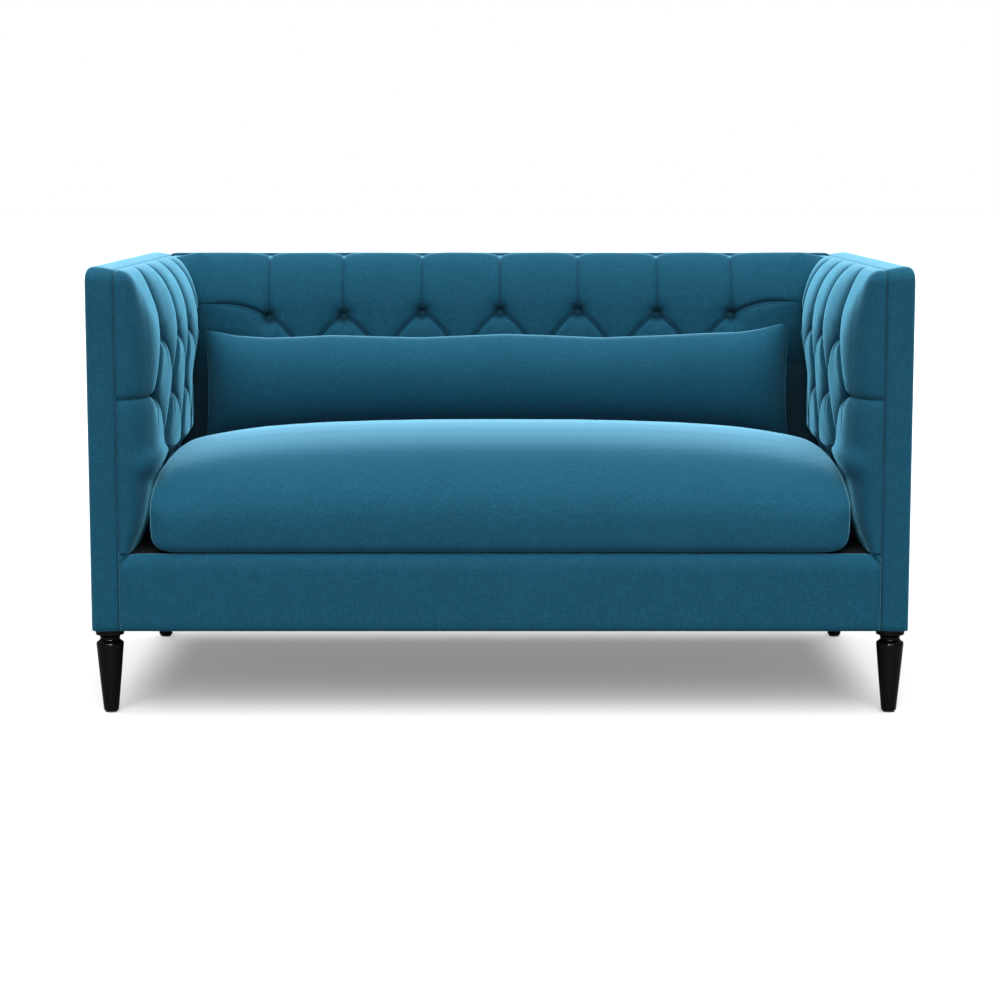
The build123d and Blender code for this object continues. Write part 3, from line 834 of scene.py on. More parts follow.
def frontThin(y, z):
    change = softTable("frontThin", z)
    thinner = np.maximum(change, 0.0) * (1.0 - smoothStep(*insideArm["thinEnd"], y))
    return thinner + np.minimum(change, 0.0) * (1.0 - smoothStep(*insideArm["fullEnd"], y))


def armPleats(look, frontEnd, topEnd):
    full = [look["firstButton"] + look["pitch"] * i for i in range(look["count"])]
    offset = [y - look["pitch"] / 2 for y in full]
    rows = [[(y, z) for y in row] for z, row in zip(look["rows"], (full, offset, full))]
    folds = diamonds(look, *rows, topEnd)
    bow, drop = look["frontBow"]
    y, z = rows[1][0]
    folds.append(pleat(look, "front", bent((y, z), ((y + frontEnd) / 2, z + bow), (frontEnd, z + drop))))
    corner = sofa["seamY"] - sofa["padDepth"] + tuft["cornerIn"]
    for row, rise in zip(rows, look["endRises"]):
        folds.append(endPleat(look, row[-1], corner, rise, rise * look["endBow"]))
    return folds, sum(rows, [])


def frontCurve(look):
    # evenly spaced points of the front roll's section, as shares of its two reaches
    turn = np.linspace(0.0, quarterTurn, look["frontSamples"])
    inward = np.sin(turn) ** (2 / look["frontPower"])
    backward = 1 - np.cos(turn) ** (2 / look["frontPower"])
    length, even = evenCurve(inward, backward, (sofa["padDepth"], look["frontRoll"]), look["frontColumns"])
    return np.interp(even[:-1], length, inward), np.interp(even[:-1], length, backward), length[-1]


def bandEdge(z):
    reach = sofa["bandBend"] + sofa["bandPad"] - sofa["bandDip"]
    over = np.clip(z - (sofa["bandTop"] - sofa["bandBend"]), 0.0, reach)
    return sofa["front"] + sofa["bandPad"] + sofa["bandBend"] - np.sqrt(reach**2 - over**2)


def makeInsideArms():
    look = insideArm
    heights, deep, lengths, _ = rollUp(look, armThickness)
    inward, backward, frontLength = frontCurve(look)
    share = deep / sofa["padDepth"]
    start = bandEdge(heights)
    roll = look["frontRoll"] * share
    rollEnd = start + roll
    corner = sofa["seamY"] - deep
    flat = np.linspace(0.0, 1.0, int((sofa["seamY"] - sofa["padDepth"] - rollEnd[0, 0]) / look["step"]) + 1)
    straight = rollEnd + (corner - rollEnd) * flat
    x = sofa["seamX"] - deep * np.concatenate((inward, np.ones(len(flat))))
    y = np.hstack((start + roll * backward, straight))
    base = layer(x, y, heights)
    ahead = np.arange(len(inward)) / len(inward)
    along = np.hstack((rollEnd - frontLength * share * (1 - ahead), straight))
    a, b = np.broadcast_arrays(along, lengths)
    # the front pleat ends at the seam, measured a third of the way up
    frontEnd = float(rollEnd[len(rollEnd) // 3, 0] - frontLength)
    folds, buttons = armPleats(look, frontEnd, lengths[-1, 0])
    depth, shade = drawnIn(a, b, folds, buttons)
    depth *= smoothStep(0.0, look["footShare"], share)
    toCorner = corner - y
    toTop = lengths[-1] - b
    fromSeam = a - a[:, :1]
    seams = (fading(away, look["seamDip"], look["seamReach"]) for away in (toTop, fromSeam))
    depth = joined(depth, cornerDraw(heights, toCorner) * share, *seams)
    loose = look["loose"] * (1 + ripple(a, b, *look["looseWave"]))
    depth += loose * smoothStep(0.0, look["looseEnd"], toTop)
    thin = frontThin(y, heights) * smoothStep(*look["thinStart"], fromSeam)
    depth += thin * np.where(heights > look["rows"][1], smoothStep(*look["thinShare"], share), 1.0)
    surface = base + faceNormals(base) * depth[:, :, None]
    edge = 1.0 - smoothStep(0.0, look["cornerTurn"], toCorner)
    surface[:, :, 1] += (depth - tuft["lip"]) * edge
    surface[:, :, 0] = np.minimum(surface[:, :, 0], sofa["seamX"] - sofa["hair"] / 2)
    shade = np.maximum.reduce((shade, fading(fromSeam, *look["seamShade"]), cornerShade(heights, toCorner)))
    behind, short = look["backSet"]
    stretch = (y - start) / (corner - start)
    rear = start + behind + stretch * (sofa["seamY"] - short - start - behind)
    back = layer(sofa["seamX"] - sofa["hair"], rear, heights)

    def build():
        bm = paddedGrid(surface, back, shade)
        addTail(bm, surface[0, :len(inward)])
        return bm

    velvetPair("InsideArmPad", build, "_inside_arm_pad")
    return buttons


armTail = {
    "corner": 0.033,
    "cornerSet": 0.002,
    "turn": 68.0,
    "steps": 10,
    "gap": 0.0006,
    "front": -0.4300,
    "rear": -0.4172,
    "behind": 0.0003,
    "least": 0.0008,
}


def addTail(bm, foot):
    # the cover's narrow end, which runs down beside the rail's rounded corner
    top = sofa["deck"] - sofa["hair"]
    centreX = sofa["seamX"] - armTail["cornerSet"] - armTail["corner"]
    centre = (centreX, armTail["front"], sofa["deck"] - armTail["corner"])
    first = bm.verts.new((centreX + armTail["corner"] + armTail["gap"], centre[1], centre[2]))
    angle = math.radians(armTail["turn"])
    bmesh.ops.spin(bm, geom=[first], cent=centre, axis=(0, -1, 0), angle=angle, steps=armTail["steps"])
    curve = [first]
    while True:
        ahead = [edge.other_vert(curve[-1]) for edge in curve[-1].link_edges]
        ahead = [vert for vert in ahead if vert not in curve]
        if not ahead:
            break
        curve.append(ahead[0])
    corner = bm.verts.new((sofa["seamX"] - armTail["gap"], centre[1], top))
    last = bm.verts.new((curve[-1].co.x, centre[1], top))
    face = bm.faces.new((*curve, last, corner))
    made = bmesh.ops.extrude_face_region(bm, geom=[face])["geom"]
    depth = armTail["rear"] - armTail["front"]
    bmesh.ops.translate(bm, verts=newParts(made, bmesh.types.BMVert), vec=(0.0, depth, 0.0))
    for vert in (*curve, last, corner):
        y = np.interp(-vert.co.x, -foot[:, 0], foot[:, 1]) + armTail["behind"]
        vert.co.y = min(y, armTail["rear"] - armTail["least"])
    bmesh.ops.recalc_face_normals(bm, faces=bm.faces)


armButtons = makeInsideArms()
print("inside arms made")

# Covered buttons, sunk in the tufts

button = {
    "outline": (
        (0.0, 0.005), (0.002975, 0.004825), (0.00527, 0.0043), (0.007055, 0.0032), (0.008075, 0.0018),
        (0.0085, 0.0006), (0.00799, 0.0),
    ),
    "steps": 20,
    # painted shade over the whole button
    "shade": 0.75,
}


def turnedShape(look):
    # an outline of radii and heights, turned round the upright axis, with an even painted shade when the look
    # gives one
    bm = bmesh.new()
    inPaintedShade = bm.verts.layers.float.new("fold") if "shade" in look else None
    verts = [bm.verts.new((radius, 0.0, height)) for radius, height in look["outline"]]
    edges = [bm.edges.new(pair) for pair in zip(verts, verts[1:])]
    bmesh.ops.spin(bm, geom=verts + edges, cent=(0, 0, 0), axis=(0, 0, 1), angle=fullTurn,
                   steps=look["steps"], use_merge=True)
    bmesh.ops.remove_doubles(bm, verts=bm.verts, dist=sofa["weld"])
    closeUp(bm)
    for vert in bm.verts if inPaintedShade else ():
        vert[inPaintedShade] = look["shade"]
    return bm


def makeButtons(name, node, spots, turn):
    shape = newMesh("buttonShape", turnedShape(button))
    bm = bmesh.new()
    for spot in spots:
        known = len(bm.verts)
        bm.from_mesh(shape)
        bm.verts.ensure_lookup_table()
        bmesh.ops.transform(bm, matrix=Matrix.Translation(spot) @ turn, verts=bm.verts[known:])
    bpy.data.meshes.remove(shape)
    finishPiece(name, bm, tealVelvet, "sofa_frame", node)


backSeat = sofa["seamY"] - sofa["padDepth"] + tuft["seat"]
toFront = Matrix.Rotation(quarterTurn, 4, "X")
makeButtons("backTuftButtons", "back_tuft_buttons", [(x, backSeat, z) for x, z in backButtons], toFront)
for hand, turn in hands.items():
    sunk = [sofa["seamX"] - float(armThickness(z) - frontThin(y, z)) + tuft["seat"] for y, z in armButtons]
    spots = [(turn * x, y, z) for x, (y, z) in zip(sunk, armButtons)]
    inwards = Matrix.Rotation(-quarterTurn * turn, 4, "Y")
    makeButtons(hand + "ArmTuftButtons", hand + "_arm_tuft_buttons", spots, inwards)
print("buttons made")

# Padded bands: one up each arm's front and back along its top, one along the back's top

band = {
    # sections: distance from the seam, rise
    "armRise": (
        (0.0002, 0.0), (0.0002, 0.0075), (0.0007, 0.0100), (0.0025, 0.0120), (0.007, 0.0136),
        (0.015, 0.0152), (0.023, 0.0168), (0.031, 0.0177),
    ),
    "backRise": (
        (0.0002, 0.0), (0.0002, 0.0075), (0.0006, 0.0105), (0.0018, 0.0135), (0.0042, 0.0160),
        (0.0075, 0.0173), (0.0125, 0.0178), (0.023, 0.0180), (0.031, 0.0180),
    ),
    "foot": ((0.0529, 0.0022), (0.0522, 0.0008), (0.0505, 0.0)),
    "roundAt": 0.039,
    "round": 0.014,
    "roundSteps": 8,
    "step": 0.012,
    "endRun": 0.012,
    "footSteps": 4,
    "bendSteps": 10,
    "rearSteps": 8,
    "backSteps": 5,
    "wave": 0.0007,
    "waveFrom": 0.008,
    "armWave": (0.16, 21),
    "backWave": (0.18, 33),
    "topShift": 1.3,
    "topLevel": 0.0005,
    "underReach": 0.0125,
    "underPull": 0.006,
    "underFrom": 0.004,
    "endFall": (0.010, 0.0102, 0.004),
    "backDrop": 0.0005,
    # painted shade along the seams: its strength and reach
    "armShade": (1.0, 0.0016),
    "backShade": (0.7, 0.03),
    "sharp": 50,
}


def bandOutline(rise):
    turns = np.linspace(0.0, quarterTurn, band["roundSteps"] + 1)
    across = band["roundAt"] + band["round"] * np.sin(turns)
    up = sofa["bandPad"] - band["round"] + band["round"] * np.cos(turns)
    return [*rise, *zip(across, up), *band["foot"]]


def runOn(bm, ring, shift, steps):
    # carries a ring of edges along in even steps
    for _ in range(steps):
        made = bmesh.ops.extrude_edge_only(bm, edges=ring)["geom"]
        fresh = newParts(made, bmesh.types.BMVert)
        bmesh.ops.translate(bm, verts=fresh, vec=Vector(shift) / steps)
        known = set(fresh)
        ring = [edge for edge in newParts(made, bmesh.types.BMEdge) if set(edge.verts) <= known]
    return ring


def ringOf(bm, points):
    verts = [bm.verts.new(point) for point in points]
    return [bm.edges.new(pair) for pair in zip(verts, verts[1:] + verts[:1])]


def roundedEnd(over, reach):
    # how much of the crown is left near a strip's rounded end
    return np.sqrt(np.clip(1.0 - (np.clip(over, 0.0, reach) / reach) ** 2, 0.0, 1.0))


def bandSwell(along, across, size, seed):
    mid = np.sin(np.clip(across / sofa["bandWidth"], 0, 1) * math.pi)
    return band["wave"] * mid * ripple(along, across, size, seed)


def armBand():
    bm, inPaintedShade = shadedMesh()
    outline = bandOutline(band["armRise"])
    ring = ringOf(bm, [(sofa["seamX"] + w, sofa["bandFront"] - h, sofa["underside"]) for w, h in outline])
    bendFloor = sofa["bandTop"] - sofa["bandBend"]
    rise = bendFloor - sofa["underside"]
    ring = runOn(bm, ring, (0, 0, band["endRun"]), band["footSteps"])
    ring = runOn(bm, ring, (0, 0, rise - band["endRun"]), int(rise / band["step"]))
    centre = (0.0, sofa["bandFront"] + sofa["bandBend"], bendFloor)
    verts = list(dict.fromkeys(vert for edge in ring for vert in edge.verts))
    spun = bmesh.ops.spin(bm, geom=verts + ring, cent=centre, axis=(1, 0, 0), angle=-quarterTurn,
                          steps=band["bendSteps"])
    ring = newParts(spun["geom_last"], bmesh.types.BMEdge)
    length = sofa["rear"] - centre[1]
    ring = runOn(bm, ring, (0, length - band["round"], 0), int(length / band["step"]))
    runOn(bm, ring, (0, band["round"], 0), band["rearSteps"])
    points = places(bm)
    w, y, z = points[:, 0] - sofa["seamX"], points[:, 1].copy(), points[:, 2].copy()
    onTop = z > sofa["bandTop"] - band["topLevel"]
    swell = bandSwell(np.where(onTop, y + band["topShift"], z), w, *band["armWave"])
    rise = z - sofa["bandTop"]
    over = y - (sofa["rear"] - band["round"])
    low = sofa["bandPad"] - band["round"]
    cap = np.where(over > 0, low + band["round"] * roundedEnd(over, band["round"]), 1.0)
    swollen = np.minimum(rise + np.where(rise > band["waveFrom"], swell, 0), cap)
    points[:, 2] = np.where(onTop, sofa["bandTop"] + swollen, z)
    outer = ~onTop & (y < sofa["bandFront"] - band["waveFrom"])
    points[:, 1] -= np.where(outer, swell, 0.0)
    # the lower end turns under
    under = sofa["underside"] + band["endRun"] - points[:, 2]
    pull = 1.0 - roundedEnd(np.maximum(under, 0.0), band["underReach"])
    points[:, 1] += pull * band["underPull"] * (points[:, 1] < sofa["bandFront"] - band["underFrom"])
    moveTo(bm, points)
    setShade(bm, inPaintedShade, fading(w, *band["armShade"]))
    closeUp(bm)
    return bm


def backBand():
    bm, inPaintedShade = shadedMesh()
    start = sofa["slack"] - sofa["seamX"]
    outline = bandOutline(band["backRise"])
    ring = ringOf(bm, [(start, sofa["seamY"] + w, sofa["bandTop"] + h) for w, h in outline])
    length = -2 * start
    end = (band["endRun"], band["backSteps"])
    for run, steps in (end, (length - 2 * band["endRun"], int(length / band["step"])), end):
        ring = runOn(bm, ring, (run, 0, 0), steps)
    points = places(bm)
    w = points[:, 1] - sofa["seamY"]
    rise = points[:, 2] - sofa["bandTop"]
    swell = bandSwell(points[:, 0], w, *band["backWave"])
    near, reach, fall = band["endFall"]
    toEnd = np.maximum(np.abs(points[:, 0]) - (sofa["seamX"] - near), 0.0)
    dip = fall * (1 - roundedEnd(toEnd, reach))
    drop = band["backDrop"] * rise / sofa["bandPad"]
    points[:, 2] += np.where(rise > band["waveFrom"], swell - dip, 0.0) - drop
    moveTo(bm, points)
    setShade(bm, inPaintedShade, fading(w, *band["backShade"]))
    closeUp(bm)
    return bm


velvetPair("ArmBand", armBand, "_arm_band", sharp=band["sharp"])
velvetPiece("backTopBand", backBand(), "back_top_band", sharp=band["sharp"])
print("bands made")

# Outside panels: covers stretched flat over a thin layer of wadding

panel = {
    "step": 0.012,
    "rim": (0.0, 0.0015, 0.0035, 0.006, 0.010),
    "rimEnd": 0.016,
    "thick": 0.0042,
    "edge": 0.0026,
    "edgeReach": 0.006,
    "calm": 0.08,
    "wave": 0.0007,
    "armWave": (0.35, 51),
    "backWave": (0.35, 77),
    "corner": 0.0125,
    "rear": 0.4308,
}


def stretchedFace(spanA, spanB):
    # evenly stepped places over a flat face, closer together at its rim
    grids = []
    for low, high in (spanA, spanB):
        inner = np.linspace(low + panel["rimEnd"], high - panel["rimEnd"], int((high - low) / panel["step"]))
        rim = np.array(panel["rim"])
        grids.append(np.concatenate((low + rim, inner, high - rim[::-1])))
    return np.meshgrid(*grids)


def panelSwell(a, b, spanA, spanB, wave):
    gap = toRim(a, b, spanA, spanB)
    calm = smoothStep(0.0, panel["calm"], gap)
    rise = panel["thick"] - fading(gap, panel["edge"], panel["edgeReach"])
    return rise + panel["wave"] * calm * ripple(a, b, *wave)


def roundCorner(a, b, cornerA, cornerB, radius):
    # carries the grid round a corner whose tip is at cornerA, cornerB
    centreA = cornerA + radius
    centreB = cornerB - radius
    offA = np.clip(centreA - a, 0.0, None) / radius
    offB = np.clip(b - centreB, 0.0, None) / radius
    inside = (offA > 0) & (offB > 0)
    scale = np.where(inside, np.maximum(offA, offB) / np.maximum(np.hypot(offA, offB), tiny), 1.0)
    newA = np.where(inside, centreA - offA * scale * radius, a)
    newB = np.where(inside, centreB + offB * scale * radius, b)
    return newA, newB


def makePanels():
    spanX = (-sofa["side"], sofa["side"])
    spanY = (sofa["bandFront"] + sofa["slack"], panel["rear"])
    spanZ = (sofa["underside"], sofa["bandTop"] - sofa["slack"])
    y, z = stretchedFace(spanY, spanZ)
    plane = sofa["side"] - sofa["panelDepth"]
    rise = plane + panelSwell(y, z, spanY, spanZ, panel["armWave"])
    yRound, zRound = roundCorner(y, z, spanY[0], spanZ[1], panel["corner"])
    surface = layer(rise, yRound, zRound)
    back = layer(plane + sofa["hair"], yRound, zRound)
    velvetPair("OutsideArmPanel", lambda: paddedGrid(surface, back), "_outside_arm_panel")
    x, z = stretchedFace(spanX, spanZ)
    plane = sofa["rear"] - sofa["panelDepth"]
    surface = layer(x, plane + panelSwell(x, z, spanX, spanZ, panel["backWave"]), z)
    back = layer(x, plane + sofa["hair"], z)
    velvetPiece("outsideBackPanel", paddedGrid(surface, back), "outside_back_panel")


makePanels()
print("outside panels made")

# Front rail cover: a padded board with two rounded upper corners

rail = {
    "reach": 0.7087,
    "corner": 0.033,
    "sideEdge": (0.0060, 0.0022),
    "topRound": (0.0155, 0.030),
    "lowEdge": (0.0060, 0.0035),
    "crown": 0.0010,
    "wave": 0.0005,
    "waves": (0.3, 61),
    "calm": 0.06,
    # painted shade at the ends beside the arm bands
    "shade": 0.0016,
}


def makeRailCover():
    spanX = (-rail["reach"], rail["reach"])
    spanZ = (sofa["underside"], sofa["deck"] - sofa["hair"])
    x, z = stretchedFace(spanX, spanZ)
    toSide, toFoot, toTop = rail["reach"] - np.abs(x), z - spanZ[0], spanZ[1] - z
    deep, tall = rail["topRound"]
    over = np.clip(1.0 - toTop / tall, 0.0, 1.0)
    falls = fading(toSide, *rail["sideEdge"]), fading(toFoot, *rail["lowEdge"])
    fall = np.maximum.reduce((*falls, deep * (1.0 - np.sqrt(1.0 - over**2))))
    mid = toFoot / (spanZ[1] - spanZ[0])
    rise = sofa["bandPad"] - fall + rail["crown"] * (np.sin(mid * math.pi) - 1.0)
    calm = smoothStep(0.0, rail["calm"], toRim(x, z, spanX, spanZ))
    rise += rail["wave"] * calm * ripple(x, z, *rail["waves"])
    xRound, zRound = roundCorner(-np.abs(x), z, -rail["reach"], spanZ[1], rail["corner"])
    xRound = -xRound * np.sign(x)
    surface = layer(xRound, sofa["bandFront"] - rise, zRound)
    back = layer(xRound, sofa["bandFront"] - sofa["hair"], zRound)
    bm = paddedGrid(surface, back, fading(toSide, 1.0, rail["shade"]))
    velvetPiece("frontRailCover", bm, "front_rail_cover")


makeRailCover()
print("front rail made")

# Deck under the seat cushion, and the dust cloth under the frame

deck = {"floor": 0.2942, "edge": 0.004, "edgeReach": 0.012, "wave": 0.0006, "waves": (0.25, 13), "sharp": 60}
dust = {
    "reach": 0.757,
    "front": -0.4165,
    "rear": 0.4305,
    "level": 0.1615,
    "sag": 0.004,
    "wave": 0.0008,
    "waves": (0.3, 5),
    "columns": 90,
    "rows": 54,
}


def makeDeck():
    side = sofa["seamX"] - sofa["slack"]
    spanX = (-side, side)
    spanY = (sofa["bandFront"] + sofa["slack"], sofa["seamY"] - sofa["slack"])
    x, y = stretchedFace(spanX, spanY)
    drop = fading(toRim(x, y, spanX, spanY), deck["edge"], deck["edgeReach"])
    drop += deck["wave"] * (1 + ripple(x, y, *deck["waves"]))
    surface = layer(x, y, sofa["deck"] - sofa["hair"] - drop)
    back = layer(x, y, deck["floor"])
    bm = paddedGrid(surface, back)
    piece = finishPiece("seatDeck", bm, plain["deckCloth"], "sofa_frame", "deck_pad", deck["sharp"])


def makeDustCloth():
    bm = bmesh.new()
    bmesh.ops.create_grid(bm, x_segments=dust["columns"], y_segments=dust["rows"], size=1.0)
    a, b, _ = places(bm).T
    x = a * dust["reach"]
    y = dust["front"] + (b + 1) / 2 * (dust["rear"] - dust["front"])
    bow = (1 - a**2) * (1 - b**2)
    z = dust["level"] - dust["sag"] * bow - dust["wave"] * bow * (1 + ripple(x, y, *dust["waves"]))
    moveTo(bm, layer(x, y, z))
    bmesh.ops.reverse_faces(bm, faces=bm.faces)
    piece = finishPiece("dustCloth", bm, plain["dustCloth"], "sofa_frame", "dust_cover")


makeDeck()
makeDustCloth()
print("deck and dust cloth made")

# Turned legs

leg = {
    "outline": (
        (0.0, 0.0032), (0.0122, 0.0032), (0.0134, 0.0037), (0.0141, 0.0052), (0.0143, 0.0085),
        (0.0149, 0.0125), (0.0200, 0.066), (0.0252, 0.1245), (0.0257, 0.1295), (0.02585, 0.1312),
        (0.0255, 0.1328), (0.0246, 0.1340), (0.0214, 0.1365), (0.0192, 0.1384), (0.0186, 0.1398),
        (0.0185, 0.1420), (0.0187, 0.1438), (0.0196, 0.1456), (0.0213, 0.1472), (0.0237, 0.1482),
        (0.0258, 0.1486), (0.0266, 0.1494), (0.0267, 0.1510), (0.0267, 0.1606), (0.0, 0.1606),
    ),
    "steps": 64,
    "sharp": 35,
    "x": 0.734,
    "y": 0.387,
}
for end, y in (("front", -leg["y"]), ("rear", leg["y"])):
    for hand in ("left", "right"):
        bm = turnedShape(leg)
        bmesh.ops.translate(bm, verts=bm.verts, vec=(hands[hand] * leg["x"], y, 0.0))
        name, node = end + hand.capitalize() + "Leg", f"{end}_{hand}_leg"
        finishPiece(name, bm, plain["blackLacquer"], "sofa_frame", node, leg["sharp"])
print("legs made")

# Loose cushions: each starts from a plain closed form and is swelled by cloth under pressure

seatCushion = {
    # side section from the front foot over the crown to the rear foot: y, share of the height
    "profile": (
        (-0.4120, 0.000), (-0.4190, -0.006), (-0.4250, -0.020), (-0.4300, -0.024), (-0.4330, 0.010),
        (-0.4345, 0.080), (-0.4350, 0.200), (-0.4350, 0.310), (-0.4320, 0.420), (-0.4250, 0.505),
        (-0.4130, 0.590), (-0.3970, 0.677), (-0.3780, 0.752), (-0.3550, 0.818), (-0.3250, 0.877),
        (-0.2850, 0.922), (-0.2380, 0.956), (-0.1600, 0.990), (-0.0800, 1.000), (0.0200, 0.982),
        (0.1000, 0.942), (0.1620, 0.898), (0.2250, 0.848), (0.2600, 0.803), (0.2780, 0.745),
        (0.2870, 0.690), (0.2920, 0.622), (0.2950, 0.554), (0.2965, 0.400), (0.2965, 0.250),
        (0.2955, 0.120), (0.2900, 0.040), (0.2780, 0.000),
    ),
    "points": 132,
    "round": 3,
    "height": 0.219,
    # top and foot from the middle out to the side: x, z
    "upper": (
        (0.0, 0.5165), (0.15, 0.5160), (0.25, 0.5140), (0.353, 0.5104), (0.42, 0.5062), (0.472, 0.5020),
        (0.51, 0.4972), (0.54, 0.4925), (0.575, 0.4862), (0.600, 0.4815), (0.614, 0.4785), (0.625, 0.4745),
        (0.635, 0.4695), (0.643, 0.4635), (0.649, 0.4555), (0.6525, 0.4470), (0.6540, 0.4350),
    ),
    "lower": (
        (0.500, 0.3064), (0.580, 0.3064), (0.600, 0.3066), (0.617, 0.3075), (0.630, 0.3105),
        (0.639, 0.3150), (0.646, 0.3215), (0.651, 0.3310), (0.6533, 0.3430), (0.6540, 0.3600),
    ),
    "step": 0.020,
    "evenTo": 0.59,
    "planRound": (0.590, 0.028),
    "formEnds": (-0.436, 0.297),
    "ends": (-0.438, 0.2965),
    "voxel": 0.008,
    "smooth": 5,
    "shrink": 0.006,
    "least": -0.0015,
    "most": 0.0015,
    "settle": 40,
    "calm": 8,
    "armGap": 0.001,
    "armCalm": 3,
    "fillInset": 0.022,
    # lowest the cover may lie: over the rail's rounded top and over the deck
    "restY": (-0.4325, -0.4300, -0.4275, -0.4250, -0.4220),
    "restZ": (0.2935, 0.2995, 0.3030, 0.3052, 0.3064),
}
bolster = {
    "left": -0.622,
    "right": 0.609,
    # top edge: x, z
    "topEdge": (
        (-0.619, 0.6775), (-0.612, 0.6800), (-0.600, 0.6790), (-0.555, 0.6700), (-0.486, 0.6655),
        (-0.421, 0.6675), (-0.350, 0.6710), (-0.260, 0.6685), (-0.171, 0.6660), (-0.085, 0.6695),
        (0.012, 0.6735), (0.109, 0.6704), (0.208, 0.6660), (0.358, 0.6714), (0.431, 0.6752),
        (0.505, 0.6775), (0.550, 0.6850), (0.585, 0.6940), (0.598, 0.6945), (0.606, 0.6870),
    ),
    "middle": 0.228,
    "lean": 0.012,
    "thick": 0.130,
    "topLift": 0.0035,
    "endPower": 12.0,
    "endPull": (0.006, 16),
    "endCrowd": 1.25,
    # painted shade towards the ends: its strength and how fast it gathers
    "endShade": (0.85, 36),
    "columns": 130,
    "rows": 44,
    "rear": 0.2985,
    "seatCell": 0.02,
    "seatStops": 60,
    "seatSmooth": 9,
    "seatGap": (0.001, 0.0006),
    "shrink": 0.006,
    "least": -0.003,
    "most": 0.003,
    "settle": 60,
    "calm": 4,
    "fillInset": 0.024,
}
cloth = {"pressure": 4.0, "frames": 20, "quality": 5, "bending": 4.0, "even": (0.5, -0.52)}


def meshOf(piece):
    graph = bpy.context.evaluated_depsgraph_get()
    return bpy.data.meshes.new_from_object(piece.evaluated_get(graph))


def edgesOf(bm):
    bm.verts.index_update()
    return np.array([[vert.index for vert in edge.verts] for edge in bm.edges])


def aroundMean(values, edges):
    # the mean of each place's neighbours
    first, second = edges.T
    many = len(values)
    total = np.bincount(first, values[second], many) + np.bincount(second, values[first], many)
    return total / np.bincount(edges.ravel(), minlength=many)


def calmed(points, edges, rounds):
    # evens the surface out, with a swell after each pass so that it keeps its size
    for step in cloth["even"] * rounds:
        mean = np.stack([aroundMean(part, edges) for part in points.T], axis=1)
        points = points + step * (mean - points)
    return points


def settled(values, edges, rounds):
    # spreads a value over the mesh, from neighbour to neighbour
    for _ in range(rounds):
        values = (values + aroundMean(values, edges)) * 0.5
    return values


def evened(bm, look, name):
    # the form again, in small even faces
    seed = newObject(name, newMesh(name, bm))
    remesh = seed.modifiers.new("voxels", "REMESH")
    remesh.mode = "VOXEL"
    remesh.voxel_size = look["voxel"]
    bpy.context.view_layer.update()
    bm = bmesh.new()
    bm.from_mesh(meshOf(seed))
    bpy.data.objects.remove(seed)
    moveTo(bm, calmed(places(bm), edgesOf(bm), look["smooth"]))
    return bm


def blownUp(bm, name):
    # where cloth under pressure takes each place of a closed form
    mesh = bpy.data.meshes.new(name)
    bm.to_mesh(mesh)
    seed = newObject(name, mesh)
    swell = seed.modifiers.new("swell", "CLOTH")
    swell.settings.quality = cloth["quality"]
    swell.settings.bending_stiffness = cloth["bending"]
    swell.settings.use_pressure = True
    swell.settings.uniform_pressure_force = cloth["pressure"]
    swell.settings.effector_weights.gravity = 0.0
    swell.collision_settings.use_collision = False
    scene = bpy.context.scene
    for number in range(1, cloth["frames"] + 1):
        scene.frame_set(number)
    end = np.empty(len(mesh.vertices) * 3)
    meshOf(seed).vertices.foreach_get("co", end)
    scene.frame_set(1)
    bpy.data.objects.remove(seed)
    return end.reshape(-1, 3)


def swelled(bm, look, name):
    # cloth under pressure, from a slightly smaller start, kept near the form it began as
    edges = edgesOf(bm)
    bm.normal_update()
    full = places(bm)
    outward = np.array([vert.normal for vert in bm.verts])
    rise = np.full(len(full), look["most"])
    start = full - outward * look["shrink"]
    moveTo(bm, start)
    move = ((blownUp(bm, name) - start) * outward).sum(1)
    print(name, "swelled by", round(float(np.median(move)), 4))
    rise = np.clip(move - look["shrink"], look["least"], look["most"])
    rise = settled(rise, edges, look["settle"])
    return calmed(full + outward * rise[:, None], edges, look["calm"])


def makeFilling(name, node, body, inset):
    # the foam or feather core, drawn in a little so that its cover lies over it
    bm = bmesh.new()
    bm.from_mesh(nodes[node].data)
    bmesh.ops.remove_doubles(bm, verts=bm.verts, dist=sofa["weld"])
    low, high = (np.array(corner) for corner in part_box(node))
    middle, half = (low + high) / 2, (high - low) / 2
    moveTo(bm, middle + (places(bm) - middle) * (1.0 - inset / half))
    piece = finishPiece(name, bm, plain["softFilling"], body, node)


def seatProfile(look):
    # the side section as an evenly stepped closed curve, its corners a little rounded
    y, share = np.array((*look["profile"], look["profile"][0])).T
    run, even = evenCurve(y, share, (1.0, look["height"]), look["points"])
    curve = np.stack((np.interp(even[:-1], run, y), np.interp(even[:-1], run, share)), axis=1)
    for _ in range(look["round"]):
        curve = curve * 0.5 + (np.roll(curve, 1, axis=0) + np.roll(curve, -1, axis=0)) * 0.25
    return curve.T


